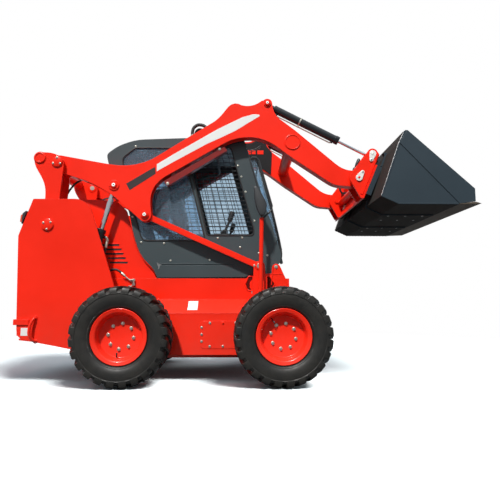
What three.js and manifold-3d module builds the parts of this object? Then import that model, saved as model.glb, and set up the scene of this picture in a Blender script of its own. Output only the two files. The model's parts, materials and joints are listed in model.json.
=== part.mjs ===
// Skid steer loader with a vertical-lift arm, a front bucket on a quick coupler,
// a caged cab and four equal wheels.
//
// Millimetres. X forward, Y to the machine's left, Z up. Outlines are written in
// a side view (x, z) whose x = 0 lies halfway between the axles and z = 0 is the
// ground; the exported group shifts them so that the origin lies under the
// middle of the whole machine.

import * as THREE from "three";
import { mergeVertices } from "three/addons/utils/BufferGeometryUtils.js";
import Module from "manifold-3d";

const wasm = await Module();
wasm.setup();

// ---------------------------------------------------------------- dimensions

const FIT = 0.3; // gap between pieces that touch
const ROD_PLAY = 0.7; // radial play of a rod in its gland
const PIN_PLAY = 0.6; // radial play of a pin in its bore
const SIDE_PLAY = 5; // beside an eye in its fork

// wheels: 12-16.5 industrial tyres
const WHEELBASE = 1332;
const TYRE_RADIUS = 412;
const TYRE_WIDTH = 300;
const TRACK_HALF = 775;
const RIM_FLANGE_RADIUS = 228;
const RIM_SEAT_RADIUS = 206;
const RIM_FLANGE_WIDTH = 12;
const RIM_DISC_DEPTH = 108; // disc behind the outer rim edge
const RIM_DISC_THICKNESS = 14;
const WHEEL_HUB_RADIUS = 78;
const WHEEL_HUB_GAP = 0.8; // between the turning hub and the axle housing

// lower frame
const FRAME_FRONT = 760;
const FRAME_WIDE_REAR = -860; // rear end of the chain cases
const FRAME_REAR = -1600;
const FRAME_BOTTOM = 205;
const FRAME_TOP = 905;
const CASE_HALF = 560; // chain case, outer face
const CASE_TOP = 589;
const WALL_FOOT = 714; // top of the sloped step above the chain case
const BAY_HALF = 350; // clear half width inside the frame
const BAY_FLOOR = 300;
const FOOTWELL_FLOOR = 520;
const FOOTWELL_REAR = 110;
const AXLE_HOUSING_RADIUS = 95;
const AXLE_HOUSING_REACH = 105; // beyond the chain case

// planes across the machine, as distances from the middle
const LINK_MID = 482.5; // arm, front link and cylinders
const ARM_THICKNESS = 95;
const EYE_WIDTH = 50; // rod eyes, barrel eyes and the front link
const FORK_OUTER = 575; // outside of the rear link and coupler ears
const FORK_INNER = 390; // inside of them
const FORK_PLATE = 18;
const TOWER_OUTER = 600;
const TOWER_OUTER_PLATE = 15;
const TOWER_INNER = 365;
const TOWER_INNER_PLATE = 15;
const CAB_HALF = 415;
const CAB_SIDE_THICKNESS = 20;
const WALL_HALF = LINK_MID - ARM_THICKNESS / 2 - 6; // upper frame wall, just inside the arm

// pivots in the side view
const LINK_FOOT = [-1403, 1369]; // rear link on the tower
const LINK_HEAD = [-1356, 1955]; // rear link on the arm
const LINK_TUBE = [-1511, 1992];
const ARM_HEEL = [-562, 1479]; // front link on the arm
const FRONT_PIVOT = [480, 1013]; // front link on the frame
const LIFT_FOOT = [-1130, 794]; // lift cylinder on the tower
const LIFT_EYE = [-848, 1751]; // lift cylinder on the arm
const TILT_FOOT = [560, 2546]; // tilt cylinder on the arm
const TILT_EYE = [1528, 2049]; // tilt cylinder on the coupler
const COUPLER_PIVOT = [1395, 1822];
const ARM_TUBE = [793, 2171]; // tube between the arms

const PIN_RADIUS = 25;
const PIN_HEAD_RADIUS = 46;
const PIN_HEAD_THICKNESS = 9;
const EYE_RADIUS = 38;

const LIFT_BARREL_RADIUS = 45;
const LIFT_BARREL_LENGTH = 582; // from its eye to the gland
const LIFT_ROD_RADIUS = 24;
const TILT_BARREL_RADIUS = 36;
const TILT_BARREL_LENGTH = 758;
const TILT_ROD_RADIUS = 16;
const BORE_WALL = 7;
const BARREL_CAP = 6;
const GLAND = 16;
const PISTON_LENGTH = 16;

const FRONT_LINK_DEPTH = 52;

// bucket
const BUCKET_HALF = 934;
const BUCKET_PLATE = 12;
const BUCKET_SIDE = 16;
const BUCKET_FLOOR = 1500;
const BUCKET_LIP = 2320;
const BUCKET_TOP = [1697, 2137];
const BUCKET_HEEL_REAR = [1481, 1568];
const BUCKET_HEEL_FRONT = [1626, BUCKET_FLOOR];
const CUTTING_EDGE_DEPTH = 190;
const CUTTING_EDGE_THICKNESS = 22;
const HITCH_HALF = 600; // coupler plate, half width

const ORIGIN_SHIFT = -330; // side-view zero to the middle of the machine

// ------------------------------------------------------------------ helpers

const toSolid = (geometry) => {
  const bare = geometry.index ? geometry.clone() : geometry;
  bare.deleteAttribute("normal");
  bare.deleteAttribute("uv");
  const merged = mergeVertices(bare, 1e-3);
  return new wasm.Manifold(
    new wasm.Mesh({
      numProp: 3,
      vertProperties: new Float32Array(merged.attributes.position.array),
      triVerts: new Uint32Array(merged.index.array),
    }),
  );
};

const toGeometry = (solid) => {
  const { vertProperties, triVerts } = solid.getMesh();
  const geometry = new THREE.BufferGeometry();
  geometry.setAttribute("position", new THREE.BufferAttribute(vertProperties, 3));
  geometry.setIndex(new THREE.BufferAttribute(triVerts, 1));
  geometry.computeVertexNormals();
  return geometry;
};

const join = (first, ...others) => others.reduce((all, one) => all.add(one), first);
const cut = (first, ...others) => others.reduce((all, one) => all.subtract(one), first);

// Extrudes a side-view shape from y0 to y1.
const slab = (shape, y0, y1, curveSegments = 3) => {
  const geometry = new THREE.ExtrudeGeometry(shape, {
    depth: Math.abs(y1 - y0),
    bevelEnabled: false,
    curveSegments,
  });
  geometry.rotateX(Math.PI / 2).translate(0, Math.max(y0, y1), 0);
  return toSolid(geometry);
};

const polygon = (points) => new THREE.Shape(points.map(([x, z]) => new THREE.Vector2(x, z)));

// A polygon whose corners are rounded, each by its own or the common radius.
const rounded = (points, radius) => {
  const shape = new THREE.Shape();
  points.forEach(([x, z, own = radius], i) => {
    const here = new THREE.Vector2(x, z);
    const before = points.at(i - 1);
    const after = points[(i + 1) % points.length];
    const reach = (other) => {
      const way = new THREE.Vector2(other[0], other[1]).sub(here);
      return here.clone().addScaledVector(way.clone().normalize(), Math.min(own, way.length() * 0.45));
    };
    const from = reach(before);
    const to = reach(after);
    if (i === 0) shape.moveTo(from.x, from.y);
    else shape.lineTo(from.x, from.y);
    if (own > 0) shape.quadraticCurveTo(here.x, here.y, to.x, to.y);
  });
  shape.closePath();
  return shape;
};

const block = (x0, x1, y0, y1, z0, z1) =>
  toSolid(
    new THREE.BoxGeometry(x1 - x0, Math.abs(y1 - y0), z1 - z0).translate(
      (x0 + x1) / 2,
      (y0 + y1) / 2,
      (z0 + z1) / 2,
    ),
  );

// A round bar across the machine.
const cross = ([x, z], radius, y0, y1, segments = 16) =>
  toSolid(
    new THREE.CylinderGeometry(radius, radius, Math.abs(y1 - y0), segments).translate(x, (y0 + y1) / 2, z),
  );

// An upright round bar.
const upright = ([x, y], radius, z0, z1, segments = 12) =>
  toSolid(
    new THREE.CylinderGeometry(radius, radius, z1 - z0, segments).rotateX(Math.PI / 2).translate(x, y, (z0 + z1) / 2),
  );

// A round bar between two side-view points in the plane y.
const bar = (from, to, y, radius, segments = 12) => {
  const a = new THREE.Vector3(from[0], y, from[1]);
  const b = new THREE.Vector3(to[0], y, to[1]);
  const way = b.clone().sub(a);
  const turn = new THREE.Quaternion().setFromUnitVectors(new THREE.Vector3(0, 1, 0), way.clone().normalize());
  const geometry = new THREE.CylinderGeometry(radius, radius, way.length(), segments);
  geometry.applyQuaternion(turn);
  const middle = a.add(b).multiplyScalar(0.5);
  return toSolid(geometry.translate(middle.x, middle.y, middle.z));
};

// A round bar bent through side-view points in the plane y.
const bentBar = (points, y, radius, steps, closed = false) => {
  const section = new THREE.Shape();
  section.absarc(0, 0, radius, 0, Math.PI * 2);
  const path = new THREE.CatmullRomCurve3(
    points.map(([x, z]) => new THREE.Vector3(x, y, z)),
    closed,
    "catmullrom",
    0.15,
  );
  return toSolid(
    new THREE.ExtrudeGeometry(section, { steps, extrudePath: path, bevelEnabled: false, curveSegments: 3 }),
  );
};

const along = (from, to, distance) => {
  const length = Math.hypot(to[0] - from[0], to[1] - from[1]);
  return [
    from[0] + ((to[0] - from[0]) * distance) / length,
    from[1] + ((to[1] - from[1]) * distance) / length,
  ];
};

const distance = (from, to) => Math.hypot(to[0] - from[0], to[1] - from[1]);
const angle = (from, to) => Math.atan2(to[1] - from[1], to[0] - from[0]);

// ---------------------------------------------------------------- materials

const paint = (color, roughness, metalness = 0) =>
  new THREE.MeshStandardMaterial({ color, roughness, metalness });

const red = () => paint(0xe8381c, 0.38);
const darkRed = () => paint(0x9c2a24, 0.5);
const cabGrey = () => paint(0x4a5054, 0.45);
const bucketGrey = () => paint(0x39434c, 0.5);
const rubber = () => paint(0x1d1d1d, 0.85);
const blackPaint = () => paint(0x20262a, 0.4);
const chrome = () => paint(0xc9cdd0, 0.15, 1);
const steel = () => paint(0x8a8d90, 0.45, 0.8);
const seatFabric = () => paint(0x26262a, 0.9);
const plastic = () => paint(0x1c1f21, 0.55);
const lampRed = () => paint(0xb8341a, 0.25);
const glass = () =>
  new THREE.MeshStandardMaterial({ color: 0x9fb0b5, roughness: 0.08, transparent: true, opacity: 0.3 });

const machine = new THREE.Group();
const frame = new THREE.Group();
frame.position.x = ORIGIN_SHIFT;
machine.add(frame);

const add = (name, solid, material, position = [0, 0, 0]) => {
  const mesh = new THREE.Mesh(solid.isBufferGeometry ? solid : toGeometry(solid), material);
  mesh.name = name;
  mesh.position.set(...position);
  frame.add(mesh);
};

const SIDES = [
  ["right", -1],
  ["left", 1],
];

// -------------------------------------------------------------- lower frame

// The part of a front-view (y, z) outline from x0 to x1.
const beam = (outline, x0, x1) => {
  const shape = new THREE.Shape(outline.map(([y, z]) => new THREE.Vector2(y, z)));
  const geometry = new THREE.ExtrudeGeometry(shape, { depth: x1 - x0, bevelEnabled: false });
  // shape x runs along Y, shape y along Z and the depth along X
  geometry.applyMatrix4(new THREE.Matrix4().set(0, 0, 1, x0, 1, 0, 0, 0, 0, 1, 0, 0, 0, 0, 0, 1));
  return toSolid(geometry);
};

const LINK_CHEEK = 14;
const linkForkInner = LINK_MID - EYE_WIDTH / 2 - SIDE_PLAY;
const linkForkOuter = LINK_MID + EYE_WIDTH / 2 + SIDE_PLAY;

const frontBracket = (side) => {
  const [x, z] = FRONT_PIVOT;
  const plate = rounded(
    [
      [x - 60, FRAME_TOP - 180, 0],
      [x + 70, FRAME_TOP - 180, 0],
      [x + 48, z + 44, 40],
      [x - 48, z + 44, 40],
    ],
    0,
  );
  const foot = block(x - 60, x + 70, side * (WALL_HALF - 30), side * (linkForkOuter + LINK_CHEEK), FRAME_TOP - 180, z - 92);
  return join(
    slab(plate, side * linkForkInner, side * (linkForkInner - LINK_CHEEK)),
    slab(plate, side * linkForkOuter, side * (linkForkOuter + LINK_CHEEK)),
    foot,
    cross(FRONT_PIVOT, PIN_RADIUS, side * (linkForkInner - LINK_CHEEK), side * (linkForkOuter + LINK_CHEEK + PIN_HEAD_THICKNESS)),
  );
};

const cabMountBracket = (side) =>
  slab(
    rounded(
      [
        [592, FRAME_TOP - 60, 0],
        [752, FRAME_TOP - 60, 0],
        [750, 856, 6],
        [672, 1030, 22],
        [640, 1046, 30],
        [604, 1026, 22],
      ],
      10,
    ),
    side * (CAB_HALF + 1),
    side * WALL_HALF,
  );

const REAR_FLOOR = 395; // under the engine
const REAR_STEP = -1000; // front end of that floor
const mainFrame = () => {
  const rearHalf = TOWER_INNER - FIT;
  let body = join(
    block(FRAME_WIDE_REAR, FRAME_FRONT, -WALL_HALF, WALL_HALF, FRAME_BOTTOM, FRAME_TOP),
    slab(
      polygon([
        [FRAME_REAR, REAR_FLOOR - 12],
        [-1480, 352],
        [-1144, 288],
        [FRAME_WIDE_REAR + 1, 250],
        [FRAME_WIDE_REAR + 1, 620],
        [FRAME_REAR, 620],
      ]),
      -rearHalf,
      rearHalf,
    ),
  );
  body = cut(
    body,
    block(FRAME_REAR + 12, REAR_STEP, -BAY_HALF, BAY_HALF, REAR_FLOOR, FRAME_TOP + 1),
    block(REAR_STEP - 1, FOOTWELL_REAR - 12, -BAY_HALF, BAY_HALF, BAY_FLOOR, FRAME_TOP + 1),
    block(FOOTWELL_REAR, FRAME_FRONT - 12, -BAY_HALF, BAY_HALF, FOOTWELL_FLOOR, FRAME_TOP + 1),
    block(FRAME_FRONT - 13, FRAME_FRONT + 1, -BAY_HALF, BAY_HALF, FOOTWELL_FLOOR + 130, FRAME_TOP + 1),
  );
  for (const [, side] of SIDES) body = join(body, frontBracket(side), cabMountBracket(side));
  return body;
};

add("main_frame", mainFrame(), red());

// the case beside the frame that holds the drive chains and both axles
const chainCase = (side) => {
  const outline = [
    [WALL_HALF + FIT, FRAME_BOTTOM],
    [CASE_HALF - 25, FRAME_BOTTOM],
    [CASE_HALF, FRAME_BOTTOM + 25],
    [CASE_HALF, CASE_TOP],
    [WALL_HALF + FIT, WALL_FOOT],
  ].map(([y, z]) => [side * y, z]);
  const axles = [-WHEELBASE / 2, WHEELBASE / 2].map((x) =>
    cross([x, TYRE_RADIUS], AXLE_HOUSING_RADIUS, side * (CASE_HALF - 5), side * (CASE_HALF + AXLE_HOUSING_REACH)),
  );
  return join(beam(outline, FRAME_WIDE_REAR, FRAME_FRONT), ...axles);
};
for (const [name, side] of SIDES) add(`chain_case_${name}`, chainCase(side), red());

// ------------------------------------------------------------------- towers

const TOWER_BACK = 12;
const towerOutline = [
  [-1540, 1606, 14],
  [-1125, 1608, 50],
  [-1035, 1545, 70],
  [-790, 809, 20],
  [-800, 700, 40],
  [-1144, 283, 30],
  [-1480, 348, 60],
  [-1620, 380, 70],
  [-1629, 532, 10],
  [-1655, 1274, 30],
];

// the inner plate runs forward to the cab and stands on the frame there
const innerPanelOutline = [
  [-1540, 1606, 14],
  [-1500, 1647, 10],
  [-1022, 1650, 20],
  [-853, 1628, 20],
  [-762, 1545, 20],
  [-708, 1346, 60],
  [-655, 1172, 60],
  [-603, 1085, 40],
  [-510, 990, 30],
  [-470, FRAME_TOP + FIT, 0],
  [FRAME_WIDE_REAR - FIT, FRAME_TOP + FIT, 0],
  [FRAME_WIDE_REAR - FIT, 300, 0],
  [-1144, 283, 0],
  [-1480, 348, 60],
  [-1620, 380, 70],
  [-1629, 532, 10],
  [-1655, 1274, 30],
];

// the rear door turns on two pins held by the left tower
const DOOR_BACK = -1640;
const DOOR_HINGE = [-1656, 352];
const HINGE_HEIGHTS = [760, 1210];
const HINGE_PIN = 5;
const hingeLug = (z) =>
  join(
    upright(DOOR_HINGE, HINGE_PIN, z - 28, z + 28),
    ...[z - 30, z + 12].map((low) =>
      join(
        block(DOOR_HINGE[0] - 9, DOOR_HINGE[0] + 9, DOOR_HINGE[1] - 6, TOWER_INNER + TOWER_INNER_PLATE - 1, low, low + 18),
        block(DOOR_HINGE[0] - 9, -1625, TOWER_INNER + 1, TOWER_INNER + TOWER_INNER_PLATE - 1, low, low + 18),
      ),
    ),
  );

const LOUVRES = 5;
const LOUVRE_PITCH = 41;
const LOUVRE_HEIGHT = 14;

const towerSolid = (side) => {
  const outer = slab(rounded(towerOutline, 0), side * (TOWER_OUTER - TOWER_OUTER_PLATE), side * TOWER_OUTER, 4);
  let inner = slab(rounded(innerPanelOutline, 0), side * TOWER_INNER, side * (TOWER_INNER + TOWER_INNER_PLATE));
  for (let i = 0; i < LOUVRES; i += 1) {
    const z = 1049 + i * LOUVRE_PITCH;
    const front = -742 - i * 21;
    inner = inner.subtract(
      block(front - 160, front, side * (TOWER_INNER - 1), side * (TOWER_INNER + TOWER_INNER_PLATE + 1), z, z + LOUVRE_HEIGHT),
    );
  }
  const y0 = side * (TOWER_INNER + 1);
  const y1 = side * (TOWER_OUTER - 1);
  const back = slab(
    polygon([
      [-1620, 400],
      [-1629, 532],
      [-1655, 1274],
      [-1540, 1606],
      [-1540 + TOWER_BACK, 1606 - 4],
      [-1655 + TOWER_BACK, 1272],
      [-1629 + TOWER_BACK, 532],
      [-1608, 400],
    ]),
    y0,
    y1,
  );
  const floor = slab(
    polygon([
      [-1600, 362],
      [-1480, 349],
      [-1150, 286],
      [-1000, 458],
      [-1010, 468],
      [-1156, 300],
      [-1480, 361],
      [-1600, 376],
    ]),
    y0,
    y1,
  );
  const liftPin = cross(LIFT_FOOT, PIN_RADIUS, side * (TOWER_INNER + 1), side * (TOWER_OUTER - 1));
  const discs = [LINK_FOOT].map((point) =>
    cross(point, PIN_HEAD_RADIUS + 8, side * (TOWER_OUTER - 1), side * (TOWER_OUTER + PIN_HEAD_THICKNESS)),
  );
  const spacers = [
    [TOWER_INNER + 1, LINK_MID - EYE_WIDTH / 2 - SIDE_PLAY],
    [LINK_MID + EYE_WIDTH / 2 + SIDE_PLAY, TOWER_OUTER - 1],
  ].map(([a, b]) => cross(LIFT_FOOT, PIN_HEAD_RADIUS, side * a, side * b));
  const tower = join(outer, inner, back, floor, liftPin, ...discs, ...spacers);
  return side > 0 ? join(tower, ...HINGE_HEIGHTS.map(hingeLug)) : tower;
};

for (const [name, side] of SIDES) add(`tower_${name}`, towerSolid(side), red());

// ------------------------------------------- engine, cover, door and bumper

const DOOR_HALF = TOWER_INNER - 6;
const DOOR_BOTTOM = 640;
const DOOR_TOP = 1330;

add("engine_block", block(-1540, REAR_STEP - 10, -270, 270, REAR_FLOOR + FIT, 1060), steel());

const COVER_TOP = 1480;
const engineCover = () => {
  const half = TOWER_INNER - FIT;
  const outline = polygon([
    [-1630, 1345],
    [-1600, 1440],
    [-1540, COVER_TOP],
    [-900, COVER_TOP],
    [-900, COVER_TOP - 16],
    [-1532, COVER_TOP - 16],
    [-1588, 1428],
    [-1614, 1345],
  ]);
  let cover = slab(outline, -half, half);
  for (let i = 0; i < 7; i += 1) {
    cover = cover.subtract(block(-1480 + i * 60, -1450 + i * 60, -230, 230, COVER_TOP - 30, COVER_TOP + 1));
  }
  return cover;
};
add("engine_cover", engineCover(), red());

const rearDoor = () => {
  const skin = 28;
  const back = DOOR_BACK;
  let door = block(back, back + skin, -DOOR_HALF, DOOR_HALF, DOOR_BOTTOM, DOOR_TOP);
  for (const z of HINGE_HEIGHTS) {
    const knuckle = join(
      upright(DOOR_HINGE, 10, z - 11, z + 11),
      block(DOOR_HINGE[0], back + 4, DOOR_HINGE[1] - 10, DOOR_HINGE[1] + 4, z - 11, z + 11),
    );
    door = door.add(cut(knuckle, upright(DOOR_HINGE, HINGE_PIN + PIN_PLAY, z - 20, z + 20)));
  }
  for (let i = 0; i < 9; i += 1) {
    const z = 860 + i * 42;
    door = door.subtract(block(back - 1, back + skin + 1, -240, 240, z, z + 20));
  }
  return door;
};
add("rear_door", rearDoor(), red());

const rearBumper = () =>
  join(
    block(-1650, FRAME_REAR - FIT, -(TOWER_INNER - 4), TOWER_INNER - 4, 385, 620),
    block(-1652, -1630, -(TOWER_OUTER - 2), TOWER_OUTER - 2, 492, 541),
  );
add("rear_bumper", rearBumper(), red());

const towerBack = (z) => -1655 + ((z - 1274) * 115) / 332;
for (const [name, side] of SIDES) {
  add(
    `rear_lamp_${name}`,
    slab(
      polygon([
        [-1656, 1400],
        [-1630, 1484],
        [towerBack(1482) - 0.4, 1482],
        [towerBack(1402) - 0.4, 1402],
      ]),
      side * 470,
      side * 560,
    ),
    lampRed(),
  );
}

// ---------------------------------------------------------------------- cab

const CAB_ROOF_PANEL = 34;
const cabOutline = [
  [-960, 2083, 30],
  [-857, 2163, 60],
  [-693, 2226, 90],
  [-222, 2246, 60],
  [337, 2250, 30],
  [692, 1128, 10],
  [679, 1045, 20],
  [412, 946, 20],
  [355, 915, 20],
  [-453, 910, 10],
  [-500, 1000, 30],
  [-593, 1092, 60],
  [-642, 1178, 60],
  [-694, 1346, 60],
  [-736, 1545, 80],
  [-940, 1985, 60],
];

// the slanted post between the glazed and the open window
const POST_HALF = 15;
const postX = (z) => -12 - (z - 1295) * 0.255;

const glassOutline = (grow) => [
  [-806 - grow, 1996 - grow],
  [-806 - grow, 2050 + grow],
  [-690, 2148 + grow],
  [postX(2150) - POST_HALF + grow, 2150 + grow],
  [postX(1257) - POST_HALF + grow, 1257 - grow],
  [-590, 1257 - grow],
  [-618, 1300],
  [-672 - grow, 1479],
];
const meshWindow = [
  [postX(2150) + POST_HALF, 2150],
  [218, 2150],
  [436, 1362],
  [428, 1308],
  [postX(1308) + POST_HALF, 1308],
];

const cabSide = (side) => {
  const y1 = side * CAB_HALF;
  const y0 = side * (CAB_HALF - CAB_SIDE_THICKNESS);
  const through = [side * (CAB_HALF + 30), side * (CAB_HALF - CAB_SIDE_THICKNESS - 5)];
  const strip = slab(
    polygon([
      [-433, 1025],
      [241, 1025],
      [412, 948],
      [355, 917],
      [-448, 912],
    ]),
    side * (CAB_HALF - 2),
    side * WALL_HALF,
  );
  return cut(
    join(slab(rounded(cabOutline, 0), y0, y1), strip),
    slab(rounded(glassOutline(0), 34), ...through),
    slab(rounded(meshWindow, 26), ...through),
  );
};

for (const [name, side] of SIDES) {
  add(`cab_side_${name}`, cabSide(side), cabGrey());
  const mid = CAB_HALF - 8;
  add(
    `side_glass_${name}`,
    slab(rounded(glassOutline(-0.5), 34), side * (mid - 2.5), side * (mid + 2.5)),
    glass(),
  );
}

const cabInner = CAB_HALF - CAB_SIDE_THICKNESS - FIT;

// flat bars behind both side windows
const GUARD_BAR = 10;
const GUARD_THICKNESS = 4;
const guardFront = (z) => 228 + ((2150 - z) * 218) / 788;
const windowGuard = (side) => {
  const rear = -590;
  const [low, high] = [1272, 2140];
  const y0 = side * (cabInner - GUARD_THICKNESS);
  const y1 = side * cabInner;
  const bars = [];
  const rows = 5;
  for (let i = 0; i <= rows; i += 1) {
    const z = low + ((high - low - GUARD_BAR) * i) / rows;
    bars.push(block(rear, guardFront(z), y0, y1, z, z + GUARD_BAR));
  }
  const columns = 6;
  for (let i = 0; i <= columns; i += 1) {
    const foot = rear + ((guardFront(low) - GUARD_BAR - rear) * i) / columns;
    const head = rear + ((guardFront(high) - GUARD_BAR - rear) * i) / columns;
    bars.push(
      slab(
        polygon([
          [foot, low],
          [foot + GUARD_BAR, low],
          [head + GUARD_BAR, high],
          [head, high],
        ]),
        y0,
        y1,
      ),
    );
  }
  return join(...bars);
};
for (const [name, side] of SIDES) add(`window_guard_${name}`, windowGuard(side), steel());

const cabRoof = () =>
  slab(
    polygon([
      [-944, 2068],
      [-851, 2140],
      [-689, 2202],
      [-222, 2222],
      [335, 2226],
      [352, 2170],
      [330, 2150],
      [300, 2190],
      [-222, 2222 - CAB_ROOF_PANEL],
      [-680, 2202 - CAB_ROOF_PANEL],
      [-828, 2112],
      [-915, 2045],
    ]),
    -cabInner,
    cabInner,
  );
add("cab_roof", cabRoof(), cabGrey());

const REAR_WINDOW_HALF = 300;
const REAR_WINDOW_LOW = 1560;
const REAR_WINDOW_HIGH = 1950;
const cabRear = () => {
  const wall = slab(
    polygon([
      [-920, 2040],
      [-900, 1985],
      [-722, 1545],
      [-680, 1346],
      [-628, 1184],
      [-582, 1102],
      [-486, 1008],
      [-442, 926],
      [-400, 926],
      [-452, 1030],
      [-550, 1124],
      [-594, 1200],
      [-645, 1352],
      [-688, 1556],
      [-866, 1996],
      [-886, 2062],
    ]),
    -cabInner,
    cabInner,
  );
  return cut(wall, block(-900, -640, -REAR_WINDOW_HALF, REAR_WINDOW_HALF, REAR_WINDOW_LOW, REAR_WINDOW_HIGH));
};
add("cab_rear_panel", cabRear(), cabGrey());
add(
  "rear_glass",
  cut(
    slab(
      polygon([
        [-715, 1545],
        [-709, 1545],
        [-877, 1960],
        [-883, 1960],
      ]),
      -REAR_WINDOW_HALF + FIT,
      REAR_WINDOW_HALF - FIT,
    ),
    block(-900, -640, -500, 500, REAR_WINDOW_HIGH - FIT, 2000),
    block(-900, -640, -500, 500, 1400, REAR_WINDOW_LOW + FIT),
  ),
  glass(),
);

const frontSill = () =>
  join(
    block(640, 668, -cabInner, cabInner, 1060, 1150),
    block(600, 668, -cabInner, cabInner, 1052, 1072),
  );
add("cab_front_sill", frontSill(), cabGrey());

const SEAT_TOP = 1230;
const seatBase = () =>
  join(
    block(-395, 100, -cabInner, cabInner, FRAME_TOP + FIT, FRAME_TOP + 20),
    block(-380, 80, -300, 300, FRAME_TOP + 10, SEAT_TOP),
    block(-380, -330, -300, 300, SEAT_TOP - 10, SEAT_TOP + 80),
  );
add("seat_base", seatBase(), cabGrey());
add(
  "seat_cushion",
  slab(
    rounded(
      [
        [-320, SEAT_TOP + FIT, 20],
        [150, SEAT_TOP + FIT, 30],
        [160, SEAT_TOP + 120, 50],
        [-320, SEAT_TOP + 95, 20],
      ],
      20,
    ),
    -235,
    235,
  ),
  seatFabric(),
);
add(
  "seat_back",
  slab(
    rounded(
      [
        [-322 - 4, SEAT_TOP + 80 + FIT, 10],
        [-324, SEAT_TOP + 130, 10],
        [-232, SEAT_TOP + 130, 40],
        [-330, SEAT_TOP + 570, 50],
        [-420, SEAT_TOP + 560, 40],
        [-382, SEAT_TOP + 80 + FIT, 10],
      ],
      20,
    ),
    -225,
    225,
  ),
  seatFabric(),
);

for (const [name, side] of SIDES) {
  add(
    `control_lever_${name}`,
    join(
      block(60, 200, side * 310, side * 380, FRAME_TOP + 20 + FIT, 1330),
      bar([150, 1325], [215, 1480], side * 345, 9),
      bar([205, 1455], [232, 1540], side * 345, 22),
    ),
    plastic(),
  );
}

// ------------------------------------------------------------------ mirrors

const MIRROR_PLANE = 598;
const POST_RADIUS = 19;
const LOOP_RADIUS = 8;
const mirrorLoop = (side) =>
  bentBar(
    [
      [505, 1430],
      [590, 1512],
      [596, 1545],
      [476, 1975],
      [462, 1996],
      [400, 2000],
      [392, 1985],
      [470, 1700],
      [502, 1440],
    ],
    side * MIRROR_PLANE,
    LOOP_RADIUS,
    32,
  );
const mirrorBar = (side, radius) => bar([489, 780], [501, 1440], side * MIRROR_PLANE, radius);
const mirrorPost = (side) => {
  const y = side * MIRROR_PLANE;
  const yFoot = side * (linkForkOuter + LINK_CHEEK + FIT);
  const foot = slab(
    rounded(
      [
        [468, 760, 12],
        [520, 760, 12],
        [520, 880, 12],
        [468, 880, 12],
      ],
      12,
    ),
    yFoot,
    y,
  );
  return join(foot, mirrorBar(side, POST_RADIUS));
};
const mirrorHousing = (side) => {
  const housing = slab(
    rounded(
      [
        [428, 1722, 30],
        [462, 1716, 40],
        [552, 1560, 60],
        [528, 1455, 40],
        [482, 1450, 40],
        [440, 1560, 60],
      ],
      30,
    ),
    side * (MIRROR_PLANE + 2),
    side * (MIRROR_PLANE + 48),
  );
  return cut(join(housing, mirrorLoop(side)), mirrorBar(side, POST_RADIUS + 0.4));
};
for (const [name, side] of SIDES) {
  add(`mirror_post_${name}`, mirrorPost(side), red());
  add(`mirror_${name}`, mirrorHousing(side), plastic());
}

// ---------------------------------------------------------------- rear link

const rearLinkPlate = [
  [-1565, 2000, 50],
  [-1530, 2046, 40],
  [-1400, 2040, 40],
  [-1295, 1990, 50],
  [-1300, 1880, 60],
  [-1338, 1400, 30],
  [-1350, 1308, 50],
  [-1460, 1308, 50],
  [-1466, 1400, 30],
  [-1445, 1620, 60],
  [-1450, 1720, 60],
  [-1480, 1800, 60],
  [-1555, 1920, 60],
];
const LINK_TUBE_RADIUS = 52;

const rearLinkSide = (side) => {
  const shape = rounded(rearLinkPlate, 30);
  return join(
    slab(shape, side * (FORK_OUTER - FORK_PLATE), side * FORK_OUTER),
    slab(shape, side * FORK_INNER, side * (FORK_INNER + FORK_PLATE)),
    cross(LINK_TUBE, LINK_TUBE_RADIUS, side * (FORK_INNER + 1), side * (FORK_OUTER + 6)),
    cross(LINK_HEAD, PIN_RADIUS, side * (FORK_INNER + 1), side * (FORK_OUTER - 1)),
    cross(LINK_HEAD, PIN_HEAD_RADIUS + 5, side * (FORK_OUTER - 1), side * (FORK_OUTER + PIN_HEAD_THICKNESS)),
  );
};
for (const [name, side] of SIDES) add(`rear_link_${name}`, rearLinkSide(side), red());
add("rear_link_tube", cross(LINK_TUBE, LINK_TUBE_RADIUS, -(FORK_INNER - FIT), FORK_INNER - FIT), red());

// ----------------------------------------------------------------- lift arm

const armShape = () => {
  const [hx, hz] = LINK_HEAD;
  const [tx, tz] = TILT_FOOT;
  const [cx, cz] = COUPLER_PIVOT;
  const [lx, lz] = ARM_HEEL;
  const shape = new THREE.Shape();
  shape.absarc(hx, hz, 76, -Math.PI * 0.62, Math.PI * 0.44, true); // rear hub
  // along the top: sagging web, straight rise, hump, tilt cylinder boss
  shape.lineTo(-924, 1954);
  shape.quadraticCurveTo(-690, 1905, -500, 2003);
  shape.lineTo(60, 2363);
  shape.quadraticCurveTo(112, 2400, 165, 2474);
  shape.quadraticCurveTo(232, 2580, 320, 2526);
  shape.quadraticCurveTo(420, 2500, 506, 2571);
  shape.absarc(tx, tz, 46, Math.PI * 0.78, 0.05, true);
  shape.quadraticCurveTo(608, 2455, 672, 2397);
  // down the nose to the coupler hub
  shape.lineTo(816, 2287);
  shape.lineTo(1190, 1968);
  shape.quadraticCurveTo(1262, 1906, 1340, 1902);
  shape.absarc(cx, cz, 80, Math.PI * 0.5, -Math.PI * 0.62, true);
  shape.lineTo(1250, 1757);
  shape.quadraticCurveTo(1180, 1757, 1120, 1798);
  // back along the underside
  shape.lineTo(813, 2004);
  shape.lineTo(660, 2118);
  shape.quadraticCurveTo(540, 2212, 400, 2216);
  shape.quadraticCurveTo(255, 2220, 130, 2140);
  shape.lineTo(-390, 1832);
  shape.quadraticCurveTo(-520, 1745, -515, 1590);
  shape.lineTo(-504, 1490);
  shape.absarc(lx, lz, 60, 0.18, -Math.PI * 0.72, true);
  shape.lineTo(-837, 1642);
  shape.quadraticCurveTo(-980, 1748, -1148, 1808);
  shape.closePath();
  return shape;
};

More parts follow.
